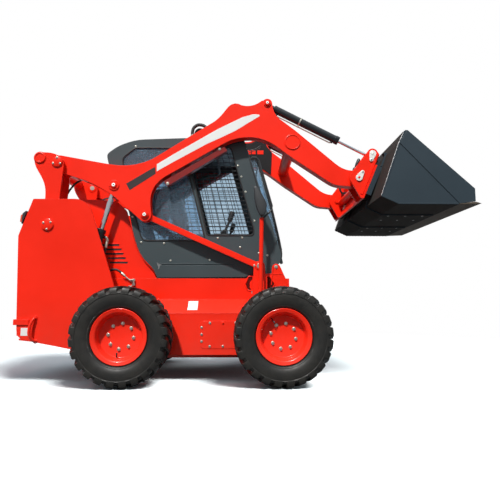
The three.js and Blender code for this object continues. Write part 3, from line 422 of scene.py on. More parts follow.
def sweep(bm, points, steps, radius, n, closed=False):
    """Tube on a smooth curve through points, which may be millimetre triples."""
    points = [at(*p) if isinstance(p, tuple) else p for p in points]
    tube(bm, curve_points(points, steps, closed), radius, n, closed)


def plate(bm, outline, y0, y1):
    """A side-view outline in mm between two planes across the machine."""
    if y0 > y1:
        y0, y1 = y1, y0
    area = sum(a[0] * b[1] - b[0] * a[1] for a, b in zip(outline, outline[1:] + outline[:1]))
    pts = outline if area > 0 else outline[::-1]
    near = [bm.verts.new(at(x, y0, z)) for x, z in pts]
    far = [bm.verts.new(at(x, y1, z)) for x, z in pts]
    bm.faces.new(near)
    bm.faces.new(far[::-1])
    n = len(pts)
    for i in range(n):
        j = (i + 1) % n
        bm.faces.new((near[j], near[i], far[i], far[j]))


def box(bm, x0, x1, y0, y1, z0, z1):
    plate(bm, [(x0, z0), (x1, z0), (x1, z1), (x0, z1)], y0, y1)


def round_outline(points, radius, steps=4):
    out = []
    n = len(points)
    for i, p in enumerate(points):
        r = p[2] if len(p) > 2 else radius
        here = Vector(p[:2])
        a, b = Vector(points[i - 1][:2]), Vector(points[(i + 1) % n][:2])
        da, db = a - here, b - here
        if r <= 0:
            out.append(tuple(here))
            continue
        p0 = here + da.normalized() * min(r, da.length * 0.45)
        p1 = here + db.normalized() * min(r, db.length * 0.45)
        for k in range(steps + 1):
            t = k / steps
            q = p0 * (1 - t) ** 2 + here * 2 * t * (1 - t) + p1 * t * t
            out.append(tuple(q))
    return out


def bolt(bm, centre, axis, r=0.009, h=0.007, washer=True):
    """Hexagon head on a washer."""
    axis = Vector(axis)
    base = 0.0
    if washer:
        lathe(bm, centre, axis, [(r * 1.45, -0.002), (r * 1.45, 0.0012), (r * 1.3, 0.0018), (0, 0.0018)], 16)
        base = 0.0018
    lathe(bm, centre, axis, [(r, base - 0.001), (r, base + h * 0.8), (r * 0.82, base + h), (0, base + h)], 6)


def make(name, bm, mat, body, bevel=0.0, angle=35):
    """Turns the mesh into a piece on a body, with its material."""
    bmesh.ops.remove_doubles(bm, verts=bm.verts, dist=1e-6)
    bmesh.ops.dissolve_degenerate(bm, edges=bm.edges, dist=1e-7)
    bmesh.ops.recalc_face_normals(bm, faces=bm.faces)
    me = bpy.data.meshes.new(name)
    bm.to_mesh(me)
    bm.free()
    me.polygons.foreach_set("use_smooth", [True] * len(me.polygons))
    me.set_sharp_from_angle(angle=math.radians(angle))
    me.materials.append(mat)
    obj = bpy.data.objects.new(name, me)
    bpy.context.scene.collection.objects.link(obj)
    if bevel:
        mod = obj.modifiers.new("edges", "BEVEL")
        mod.width = bevel
        mod.segments = 2
        mod.limit_method = "ANGLE"
        mod.angle_limit = math.radians(30)
    if body:
        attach(obj, body)
    return obj


def pieces(body, end, *rows):
    """Makes several pieces on one body; end closes each of their names."""
    for label, bm, mat, *bevel in rows:
        make(label + end, bm, mat, body, *bevel)


# ------------------------------------------------------------------- wheels

WHEELBASE, TRACK, TYRE_R = 1332, 775, 412
LUGS = 24


def tyre_mesh(bm, centre, out):
    """Carcass and lugs; out is the outward direction, +Y or -Y."""
    half = [(0.2078, 0.108), (0.231, 0.1122), (0.235, 0.121), (0.244, 0.1285), (0.248, 0.1318),
            (0.252, 0.1318),
            (0.256, 0.1345), (0.272, 0.1412), (0.292, 0.1452), (0.315, 0.1468), (0.335, 0.1462),
            (0.345, 0.145),
            (0.348, 0.1492), (0.353, 0.1494), (0.356, 0.145), (0.364, 0.1405), (0.374, 0.13),
            (0.382, 0.112), (0.3868, 0.08), (0.3885, 0.04)]
    prof = [(r, h) for r, h in half] + [(0.389, 0.0)] + [(r, -h) for r, h in half[::-1]]
    lathe(bm, centre, (0, out, 0), prof, 96, closed=True)
    pitch = 2 * math.pi / LUGS
    stations = [(0.149, 0.357, 0.345, 0.0, 0.025), (0.1478, 0.376, 0.352, 0.0, 0.0285),
                (0.14, 0.393, 0.36, 0.02, 0.029), (0.122, 0.4035, 0.366, 0.08, 0.028),
                (0.09, 0.4095, 0.372, 0.22, 0.0255), (0.052, 0.4116, 0.376, 0.4, 0.0235),
                (0.016, 0.4118, 0.378, 0.56, 0.0215)]
    for side in (1, -1):
        for k in range(LUGS):
            start = pitch * (k + (0.5 if side < 0 else 0.0))
            rings = []
            for y, top, low, turn, wide in stations:
                phi = start + out * turn * pitch
                ring = []
                for r, w in ((low, wide * 1.25), (top, wide), (top, -wide), (low, -wide * 1.25)):
                    a = phi + w / top
                    ring.append(centre + Vector((r * math.cos(a), side * y, r * math.sin(a))))
                rings.append(ring)
            skin(bm, rings)


RIM = [(0, 0.042), (0.154, 0.042), (0.1565, 0.0432), (0.166, 0.0432), (0.17, 0.0446), (0.1745, 0.05),
       (0.179, 0.062), (0.1835, 0.088), (0.188, 0.108), (0.195, 0.117), (0.206, 0.1206), (0.215, 0.1222),
       (0.22, 0.1252), (0.2245, 0.126), (0.228, 0.124), (0.2288, 0.12), (0.227, 0.116), (0.22, 0.1135),
       (0.211, 0.111), (0.2064, 0.106), (0.2062, 0.03), (0.199, 0.02), (0.199, -0.06), (0.2062, -0.07),
       (0.2064, -0.106), (0.211, -0.111), (0.227, -0.116), (0.2288, -0.12), (0.228, -0.124),
       (0.22, -0.1252), (0.2, -0.1206), (0.196, -0.106), (0.188, -0.04), (0.186, 0.018),
       (0.178, 0.028), (0.078, 0.028), (0.078, -0.1085), (0, -0.1085)]
BOLT_TURN = {"front": 78, "rear": 83}
VALVE_TURN = {"front": 124, "rear": 262}

for end, x in (("front", WHEELBASE / 2), ("rear", -WHEELBASE / 2)):
    for name, side in SIDES:
        tag = f"{end}_{name}"
        hub = at(x, side * TRACK, TYRE_R)
        bm = bmesh.new()
        tyre_mesh(bm, hub, side)
        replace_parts(make(f"lugged_tyre_{tag}", bm, mat_tyre, f"wheel_{tag}", 0.0025, 40), f"tyre_{tag}")
        bm = bmesh.new()
        lathe(bm, hub, (0, side, 0), RIM, 96)
        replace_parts(make(f"wheel_rim_{tag}", bm, mat_red, f"wheel_{tag}"), f"rim_{tag}")
        bm = bmesh.new()
        face = hub + Vector((0, side * 0.0425, 0))
        for k in range(8):
            a = math.radians(BOLT_TURN[end] + 45 * k)
            spot = face + Vector((math.cos(a), 0, math.sin(a))) * 0.105
            lathe(bm, spot, (0, side, 0), disc(0.015, -0.002, 0.0022, 0.0138, 0.003), 20)
            lathe(bm, spot, (0, side, 0), [(0.0118, 0.002), (0.0118, 0.011), (0.01, 0.0132), (0.006, 0.0136),
                                           (0.0058, 0.016), (0, 0.0166)], 6)
        make(f"wheel_nuts_{tag}", bm, mat_zinc, f"wheel_{tag}")
        bm = bmesh.new()
        a = math.radians(VALVE_TURN[end])
        ray = Vector((math.cos(a), 0, math.sin(a)))
        foot = face + ray * 0.172
        # the stem comes straight out of the rim, then bends towards the hub
        stem = [foot + Vector((0, side * out, 0)) - ray * bend
                for out, bend in ((0.004, 0.0), (0.016, 0.004), (0.026, 0.014), (0.034, 0.026))]
        sweep(bm, stem, 4, 0.0052, 10)
        lathe(bm, foot + Vector((0, side * 0.0375, 0)) - ray * 0.031, Vector((0, side * 0.6, 0)) - ray,
              disc(0.0068, -0.006, 0.008, 0.005, 0.012), 10)
        make(f"valve_{tag}", bm, mat_plastic, f"wheel_{tag}")

# ------------------------------------------------- pins, caps and keeper bolts

LINK_FOOT, LINK_HEAD, LINK_TUBE = (-1403, 1369), (-1356, 1955), (-1511, 1992)
ARM_HEEL, FRONT_PIVOT, LIFT_EYE = (-562, 1479), (480, 1013), (-848, 1751)
TILT_FOOT, TILT_EYE, COUPLER_PIVOT = (560, 2546), (1528, 2049), (1395, 1822)
ARM_TUBE, LIFT_FOOT = (793, 2171), (-1130, 794)
ARM_MID, ARM_HALF = 482.5, 47.5
ARM_FACE = ARM_MID + ARM_HALF


def over(point, y):
    return at(point[0], y, point[1])


def around(point, radius, degrees, y):
    a = math.radians(degrees)
    return at(point[0] + radius * math.cos(a), y, point[1] + radius * math.sin(a))


def ring(bm, centre, axis, radius, bead, n=40):
    axis, u, v = frame_of(Vector(axis))
    tube(bm, [centre + (u * math.cos(t) + v * math.sin(t)) * radius
              for t in (2 * math.pi * i / n for i in range(n))], bead, 8, True)


for name, side in SIDES:
    way = (0, side, 0)
    back = (0, -side, 0)
    # arm: red caps, pale pin ends, weld rings, and a black hex in each pin end as painted shade for its
    # socket
    red, pale, dark = meshes(3)
    face = side * (ARM_FACE + 9)
    for point, r, pin in ((LIFT_EYE, 0.027, 0.0165), (ARM_HEEL, 0.027, 0.0165), (TILT_FOOT, 0.024, 0.0125)):
        lathe(red, over(point, face), way, [(r + 0.003, -0.001), (r, 0.008), (r - 0.003, 0.011), (0, 0.011)],
              28)
        lathe(pale, over(point, face + side * 10), way,
              [(pin, 0), (pin, 0.004), (pin - 0.002, 0.0055), (0.006, 0.0055), (0.0055, 0.003), (0, 0.003)],
              24)
        lathe(dark, over(point, face + side * 12.5), way, plug(0.0056, 0, 0.0012), 6)
    for deg in (75, 195, 315):
        bolt(red, around(LIFT_EYE, 37, deg, face), way, 0.0055, 0.005, False)
    ring(red, over(ARM_TUBE, side * (ARM_FACE + 5)), way, 0.0665, 0.0045, 48)
    ring(red, over(ARM_TUBE, side * ARM_FACE), way, 0.0735, 0.0045, 48)
    ring(red, over(LIFT_EYE, side * ARM_FACE), way, 0.0475, 0.004, 36)
    inner = side * (ARM_MID - ARM_HALF)
    lathe(red, over(LIFT_EYE, inner), back, disc(0.046, -0.001, 0.006, 0.043, 0.008), 28)
    lathe(pale, over(LIFT_EYE, inner), back, disc(0.018, 0.006, 0.0115, 0.016, 0.0125), 24)
    ring(red, over(ARM_TUBE, inner), way, 0.0595, 0.005, 40)
    pieces("lift_arm", f"_{name}", ("arm_pin_caps", red, mat_red), ("arm_pin_ends", pale, mat_pale),
           ("arm_pin_sockets", dark, mat_plastic))
    # rear link
    red, pale = meshes(2)
    face = side * 584
    lathe(red, over(LINK_HEAD, face), way, disc(0.047, -0.001, 0.002, 0.044, 0.0035), 36)
    for deg in (90, 210, 330):
        bolt(pale, around(LINK_HEAD, 36, deg, face + side * 3.5), way, 0.0068, 0.006)
    lathe(red, over(LINK_TUBE, side * 581), way,
          [(0.05, -0.004), (0.05, 0.003), (0.047, 0.005), (0.04, 0.005), (0.038, 0.001), (0, 0.001)], 40)
    ring(red, over(LINK_TUBE, side * 575), way, 0.0535, 0.004, 40)
    bolt(pale, around(LINK_TUBE, 34, 265, side * 583), way, 0.0045, 0.004, False)
    lathe(red, over(LINK_HEAD, side * 390), back, disc(0.05, -0.001, 0.002, 0.048, 0.003), 36)
    lathe(pale, over(LINK_HEAD, side * 390), back, plug(0.024, 0.002, 0.0046), 28)
    pieces("rear_link", f"_{name}", ("link_caps", red, mat_red), ("link_bolts", pale, mat_zinc))
    # tower: link foot disc
    red, pale = meshes(2)
    lathe(red, over(LINK_FOOT, side * 609), way, disc(0.05, -0.001, 0.002, 0.047, 0.0035), 40)
    ring(red, over(LINK_FOOT, side * 600), way, 0.0555, 0.004, 40)
    for deg in (40, 150, 268):
        bolt(pale, around(LINK_FOOT, 38, deg, side * 612.5), way, 0.0068, 0.006)
    # front pivot on the frame and the cab's mounting bolts
    fx, fz = FRONT_PIVOT
    lathe(red, at(fx, side * 526.5, fz), way, [(0.036, -0.001), (0.036, 0.005), (0.034, 0.007),
                                               (0.0255, 0.007)], 32)
    lathe(pale, at(fx, side * 535.5, fz), way, [(0.0225, 0), (0.0225, 0.004), (0.02, 0.006), (0.0, 0.006)],
          28)
    bolt(pale, at(fx - 42, side * 526.5, fz + 3), way, 0.0075, 0.007)
    bolt(pale, at(640, side * 429, 1012), way, 0.0115, 0.01)
    bolt(pale, at(464, side * 526.5, 752), way, 0.0085, 0.007)
    pieces("chassis", f"_{name}", ("chassis_caps", red, mat_red), ("chassis_pin_bolts", pale, mat_zinc))
    # coupler: keeper plates over both pins and the flange along the front edge
    red, pale, dark = meshes(3)
    for (px, pz), (dx, dz) in ((COUPLER_PIVOT, (33, 52)), (TILT_EYE, (-16, -58))):
        length = math.hypot(dx, dz)
        lean = math.atan2(dz, dx)
        big, small = 31, 17
        spread = math.acos((big - small) / length)
        outline = []
        for k in range(17):
            a = lean + spread + (2 * math.pi - 2 * spread) * k / 16
            outline.append((px + big * math.cos(a), pz + big * math.sin(a)))
        for k in range(9):
            a = lean - spread + 2 * spread * k / 8
            outline.append((px + dx + small * math.cos(a), pz + dz + small * math.sin(a)))
        plate(pale, outline, side * 575.2, side * 585.5)
        ring(pale, at(px, side * 585.3, pz), way, 0.0175, 0.0022, 28)
        lathe(red if (px, pz) == COUPLER_PIVOT else pale, at(px, side * 585.2, pz), way,
              disc(0.011, 0, 0.0022, 0.009, 0.003), 20)
        lathe(pale, at(px + dx, side * 585.5, pz + dz), way, plug(0.0105, 0, 0.0018), 18)
        bolt(dark, at(px + dx, side * 587.2, pz + dz), way, 0.007, 0.005, False)
    edge0, edge1 = Vector((1584, 2040)), Vector((1424, 1664))
    along = (edge1 - edge0).normalized()
    out_of = Vector((along.y, -along.x))
    if out_of.x > 0:
        out_of = -out_of
    strip = [edge0, edge1, edge1 + out_of * 22, edge0 + out_of * 22]
    plate(red, [tuple(p) for p in strip], side * 574.5, side * 583)
    pieces("coupler_bucket", f"_{name}", ("coupler_trim", red, mat_red, 0.0015),
           ("keeper_plates", pale, mat_pale, 0.001), ("keeper_bolts", dark, mat_steel))

# ------------------------------------------------------------ arm decoration

BAND = [(-739, 1767), (-704, 1705), (-470, 1862), (-479, 1927)]
STRIPE = [(-462, 1884), (-300, 1980), (0, 2150), (118, 2205), (263, 2278), (397, 2364), (478, 2414),
          (491, 2425),
          (482, 2436), (424, 2438), (330, 2410), (210, 2350), (90, 2288), (-300, 2054), (-462, 1952)]
for name, side in SIDES:
    bm = bmesh.new()
    plate(bm, BAND, side * 529.7, side * 530.6)
    make(f"arm_band_{name}", bm, mat_dark_film, "lift_arm")
    bm = bmesh.new()
    plate(bm, STRIPE, side * 529.7, side * 530.6)
    make(f"arm_stripe_{name}", bm, mat_white, "lift_arm")
    # dark liner on the arm's inner face, ahead of the cab
    bm = bmesh.new()
    liner = [(150, 2175), (255, 2226), (400, 2223), (540, 2214), (655, 2130), (668, 2392), (606, 2470),
             (596, 2530),
             (520, 2548), (420, 2505), (300, 2500), (200, 2490), (150, 2420)]
    plate(bm, round_outline(liner, 10, 2), side * 428.5, side * 435.2)
    make(f"arm_liner_{name}", bm, mat_liner, "lift_arm", 0.001)
    bm = bmesh.new()
    for x0, x1 in ((372, 425), (435, 480), (500, 570)):
        box(bm, x0, x1, side * 426.5, side * 428.7, 2372, 2418)
    make(f"liner_tabs_{name}", bm, mat_red, "lift_arm", 0.001)

bm = bmesh.new()
for x, z in ((-363, 1773), (113, 2106)):
    bolt(bm, at(x, -512.5, z), (0, -1, 0), 0.0095, 0.008)
make("prop_bolts", bm, mat_zinc, "lift_arm")

# ---------------------------------------------------------------- cylinders


def axis_frame(foot, eye):
    way = Vector((eye[0] - foot[0], eye[1] - foot[1])).normalized()
    return way, Vector((way.y, -way.x))


def beside(foot, way, normal, y):
    """Gives points by their distance along a cylinder, off its axis and across the machine."""
    def spot(along, off, across=0.0):
        p = Vector(foot) + way * along + normal * off
        return at(p.x, y + across, p.y)
    return spot


for name, side in SIDES:
    y = side * ARM_MID
    way, down = axis_frame(TILT_FOOT, TILT_EYE)
    if down.y > 0:
        down = -down
    on = beside(TILT_FOOT, way, down, y)
    axis3 = Vector((way.x, 0, way.y))
    bright, black = meshes(2)
    spot = on(344, 0)
    lathe(bright, spot, axis3, [(0.0355, 0), (0.0385, 0), (0.0385, 0.013), (0.0355, 0.013)], 32, closed=True)
    box_at = on(350, 45)
    lathe(bright, box_at + Vector((0, -0.012, 0)), (0, 1, 0), plug(0.01, 0, 0.024), 6)
    pipe = [(118, 34), (119, 48), (128, 53), (200, 53), (440, 53), (668, 53), (690, 50), (700, 38)]
    sweep(bright, [on(s, o) for s, o in pipe], 3, 0.0062, 10)
    for s in (118, 700):
        lathe(black, on(s, 30), Vector((down.x, 0, down.y)),
              disc(0.013, -0.002, 0.016, 0.01, 0.018), 16)
    lathe(black, on(716, 0), axis3,
          [(0.0362, 0), (0.04, 0.002), (0.04, 0.038), (0.038, 0.0415), (0.0172, 0.0415), (0.0172, 0.035)], 32)
    make(f"tilt_pipe_{name}", bright, mat_zinc, f"tilt_barrel_{name}")
    make(f"tilt_gland_{name}", black, mat_cyl, f"tilt_barrel_{name}")

    way, ahead = axis_frame(LIFT_FOOT, LIFT_EYE)
    if ahead.x < 0:
        ahead = -ahead
    on = beside(LIFT_FOOT, way, ahead, y)
    axis3 = Vector((way.x, 0, way.y))
    bright, black, hose = meshes(3)
    lathe(black, on(545, 0), axis3,
          [(0.0452, 0), (0.049, 0.002), (0.049, 0.034), (0.0465, 0.037), (0.0255, 0.037), (0.0255, 0.03)], 32)
    ahead3 = Vector((ahead.x, 0, ahead.y))
    lathe(black, on(520, 40, side * -8), ahead3,
          disc(0.016, 0, 0.018, 0.013, 0.02), 16)
    fit = [on(s, o, side * a)
           for s, o, a in ((520, 56, -8), (520, 70, -8), (514, 80, -8), (500, 85, -8), (440, 92, -8))]
    sweep(bright, fit, 4, 0.0085, 12)
    lathe(bright, fit[1], ahead3, plug(0.0125, -0.008, 0.004), 6)
    sleeve = fit[-1] - fit[-2]
    lathe(bright, fit[-1], sleeve, [(0.0125, -0.045), (0.0135, -0.042), (0.0135, 0.006), (0.0115, 0.008),
                                    (0, 0.008)], 16)
    lathe(bright, fit[-1] - sleeve.normalized() * 0.062, sleeve, plug(0.0135, -0.009, 0.009), 6)
    run = [fit[-1]] + [on(s, o, side * a)
                       for s, o, a in ((380, 98, -8), (300, 92, -6), (200, 70, -2), (120, 66, 0),
                                       (70, 62, 0))]
    sweep(hose, run, 6, 0.0095, 12)
    lathe(bright, run[-1], run[-1] - run[-2], plug(0.012, -0.03, 0.004), 12)
    tube(bright, [run[-1], on(62, 40, 0)], 0.0075, 10)
    make(f"lift_fittings_{name}", bright, mat_zinc, f"lift_barrel_{name}")
    make(f"lift_gland_{name}", black, mat_cyl, f"lift_barrel_{name}")
    make(f"lift_hose_{name}", hose, mat_hose, f"lift_barrel_{name}")

# ------------------------------------------------- tower, bumper and chain case


def back_of(z):
    """Side-view x of the tower's back edge."""
    if z < 532:
        return -1625
    return -1655 + ((1274 - z) * 0.035 if z < 1274 else (z - 1274) * 0.3464)


for name, side in SIDES:
    way = (0, side, 0)
    red, pale, white, dark = meshes(4)
    # bumper end wrapped round the tower's corner, with the tie-down loop ahead of it
    plate(red, round_outline([(-1652, 492), (-1518, 492), (-1518, 541), (-1652, 541)], 5, 2), side * 598,
          side * 610)
    tie = [at(-1462, side * 603, 556), at(-1470, side * 618, 546), at(-1490, side * 634, 505),
           at(-1497, side * 640, 450),
           at(-1492, side * 636, 400), at(-1468, side * 618, 362), at(-1452, side * 603, 352)]
    sweep(red, tie, 6, 0.0125, 14)
    for z in (352, 556):
        ring(red, at(-1456 - (z > 400) * 6, side * 600.5, z), way, 0.015, 0.004, 24)
    plate(white, round_outline([(-1586, 400), (-1514, 400), (-1514, 468), (-1586, 468)], 4, 2), side * 599.7,
          side * 600.8)
    # inspection cover on the chain case
    cover = round_outline([(-45, 284), (330, 284), (330, 524), (-45, 524)], 46, 6)
    plate(red, cover, side * 559.6, side * 563.2)
    spots = [(-29, 347), (-29, 407), (-29, 468), (43, 304), (43, 506), (157, 304), (157, 506), (271, 304),
             (271, 506),
             (314, 347), (314, 407), (314, 468)]
    for x, z in spots:
        bolt(red if (x, z) == (157, 506) else pale, at(x, side * 563.2, z), way, 0.0078, 0.0065)
    # blank plate on the sloped step
    slope = lambda z: 560.6 - (z - 589) * (131 / 125)
    a, b = (-160, -72), (618, 697)
    quad = [at(a[0], side * slope(b[0]), b[0]), at(a[1], side * slope(b[0]), b[0]),
            at(a[1], side * slope(b[1]), b[1]), at(a[0], side * slope(b[1]), b[1])]
    lift = Vector((0, side * 0.0008, 0.0008))
    skin(white, [[p + lift for p in quad], [p - lift for p in quad]])
    # weld beads along the step and the case front
    for z, y in ((589, 560), (713, 429.5)):
        tube(red, [at(x, side * y, z + 1) for x in range(-855, 760, 60)], 0.0028, 6)
    # stiffener on the cab mounting bracket
    plate(red, [(592, 846), (600, 846), (616, 1012), (606, 1022)], side * 429, side * 436)
    plate(red, [(592, 942), (704, 942), (706, 948), (592, 948)], side * 429, side * 432)
    # hex collar where the front link's bracket meets the wall
    plate(red, round_outline([(396, 820), (434, 776), (560, 776), (560, 915), (436, 915), (396, 868)], 6, 2),
          side * 428.5, side * 433)
    # louvre lips behind each slot of the inner panel, with a dark plate in each slot: painted shade for the
    # space behind it
    for i in range(5):
        z = 1049 + i * 41
        front = -742 - i * 21
        plate(red, [(front - 164, z + 13), (front + 3, z + 13), (front + 3, z + 18), (front - 164, z + 18)],
              side * 379.5, side * 386)
        plate(dark, [(front - 162, z - 3), (front + 1, z - 3), (front + 1, z + 13), (front - 162, z + 13)],
              side * 379.6, side * 381)
    # tower back: latch bolts and lamp frame
    for z in (420, 700, 1180, 1500):
        bolt(pale, at(back_of(z) - 0.5, side * 500, z), (-1, 0, 0), 0.007, 0.006)
    plate(dark, round_outline([(-1648, 1392), (-1640, 1480), (-1612, 1502), (-1604, 1502), (-1644, 1384)], 3,
                              2),
          side * 456, side * 574)
    lamp = bmesh.new()
    plate(lamp, round_outline([(-1666, 1404), (-1662, 1462), (-1640, 1482), (-1616, 1482), (-1641, 1404)], 5,
                              3),
          side * 468, side * 562)
    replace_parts(make(f"lamp_lens_{name}", lamp, mat_lamp, "chassis", 0.004), f"rear_lamp_{name}")
    pieces("chassis", f"_{name}", ("tower_trim", red, mat_red, 0.0008), ("chassis_bolts", pale, mat_zinc),
           ("blank_plates", white, mat_white), ("lamp_backs", dark, mat_plastic))
    # short hose from the valve to the drive motor, with its fittings
    y = side * 447
    route = [(-985, 880), (-940, 938), (-884, 974), (-838, 985), (-800, 972), (-766, 944)]
    hose, bright = meshes(2)
    path = curve_points(flat(route, y), 6)
    tube(hose, path, 0.0105, 14)
    make(f"drive_hose_{name}", hose, mat_hose, "chassis")
    end = path[-1]
    way_on = (path[-1] - path[-2]).normalized()
    lathe(bright, end, way_on, [(0.0128, -0.014), (0.0136, -0.012), (0.0136, 0.03), (0.0115, 0.032),
                                (0, 0.032)], 16)
    elbow = [end + way_on * 0.03, at(-722, y, 905), at(-700, y, 890), at(-684, y, 884), at(-668, y, 884)]
    sweep(bright, elbow, 5, 0.0075, 12)
    lathe(bright, at(-676, y, 884), (1, 0, 0), plug(0.0145, -0.01, 0.01), 6)
    elbow = [at(-672, y, 884), at(-664, y, 862), at(-676, y, 836), at(-700, y, 822)]
    sweep(bright, elbow, 5, 0.0085, 12)
    lathe(bright, at(-664, y, 850), (0.2, 0, -1), plug(0.0145, -0.01, 0.012), 6)
    for x, z in ((-668, 884), (-700, 822)):
        lathe(bright, at(x, side * 428.8, z), way, disc(0.017, 0, 0.02, 0.013, 0.024), 16)
    make(f"drive_fittings_{name}", bright, mat_zinc, "chassis")
    # looped hose over the arm's top edge
    hose, bright = meshes(2)
    loop = [(-142, 2234), (-143, 2275), (-130, 2318), (-92, 2345), (-48, 2342), (-20, 2326), (-8, 2312)]
    for k, (dx, dz) in enumerate(((1.0, 1.0), (0.62, 0.72))):
        path = curve_points([at(-74 + (x + 74) * dx, side * (492 - 30 * k), 2216 + (z - 2216) * dz)
                             for x, z in loop], 6)
        tube(hose, path, 0.015, 14)
        for p, q in ((path[0], path[1]), (path[-1], path[-2])):
            lathe(bright, p, q - p, disc(0.0175, -0.022, 0.014, 0.016, 0.016), 14)
    pieces("lift_arm", f"_{name}", ("arm_hose", hose, mat_hose), ("arm_hose_ends", bright, mat_zinc))
    # steel pipes clipped along the arm's inner face, behind the looped hose and ahead of it
    pipes, clips = meshes(2)
    for k, off in enumerate((0, 22)):
        line = [(-1105, 1868 - off), (-700, 1830 - off), (-520, 1860 - off), (-232, 2035 - off)]
        sweep(pipes, flat(line, side * 429.8), 8, 0.005, 10)
        line = [(120, 2250 - off), (300, 2370 - off), (480, 2440 - off), (540, 2480 - off)]
        sweep(pipes, flat(line, side * 429.8), 8, 0.005, 10)
    for x, z in ((-1000, 1846), (-760, 1818), (-400, 1914)):
        box(clips, x - 12, x + 12, side * 423, side * 435.2, z - 24, z + 24)
    pieces("lift_arm", f"_{name}", ("arm_pipes", pipes, mat_cyl),
           ("arm_pipe_clips", clips, mat_plastic, 0.002))
    # twin hoses from the rear link on to the arm, bending round their common pin
    bends = [(-1352, 385, 1668), (-1336, 385, 1682), (-1299, 385, 1747), (-1248, 385, 1808),
             (-1190, 385, 1838),
             (-1120, 405, 1850), (-1090, 418, 1850)]
    strands, low, high = meshes(3)
    for off in (-4.7, 4.7):
        path = curve_points([at(x + off * 0.72, side * y, z - off * 0.69) for x, y, z in bends], 8)
        tube(strands, path, 0.0045, 10)
        lathe(low, path[0], path[1] - path[0], plug(0.0048, -0.016, 0.012), 12)
        lathe(high, path[-1], path[-2] - path[-1], plug(0.006, -0.012, 0.012), 6)
    bridge = make(f"link_hose_{name}", strands, mat_hose, None)
    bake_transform(bridge)
    box(low, -1364, -1338, side * 381, side * 390.4, 1655, 1676)
    make(f"link_hose_clip_{name}", low, mat_steel, "rear_link", 0.001)
    box(high, -1104, -1074, side * 416, side * 435.2, 1836, 1866)
    make(f"arm_hose_clip_{name}", high, mat_steel, "lift_arm", 0.001)

# ---------------------------------------------------------------------- cab

CAB_HALF, CAB_IN = 415, 394.7


def post_x(z):
    return -12 - (z - 1295) * 0.255


GLASS = [(-806, 1996), (-806, 2050), (-690, 2148), (post_x(2150) - 15, 2150), (post_x(1257) - 15, 1257),
         (-590, 1257), (-618, 1300), (-672, 1479)]
OPEN = [(post_x(2150) + 15, 2150), (218, 2150), (436, 1362), (428, 1308), (post_x(1308) + 15, 1308)]
CAB_BOLTS = [(286, 1977), (317, 1870), (358, 1722), (442, 1444), (99, 1283), (325, 1287), (307, 1196),
             (-338, 1070),
             (25, 1076), (-688, 2160), (-400, 1230), (-612, 1240),
             (-700, 1480), (480, 1140), (560, 1120)]

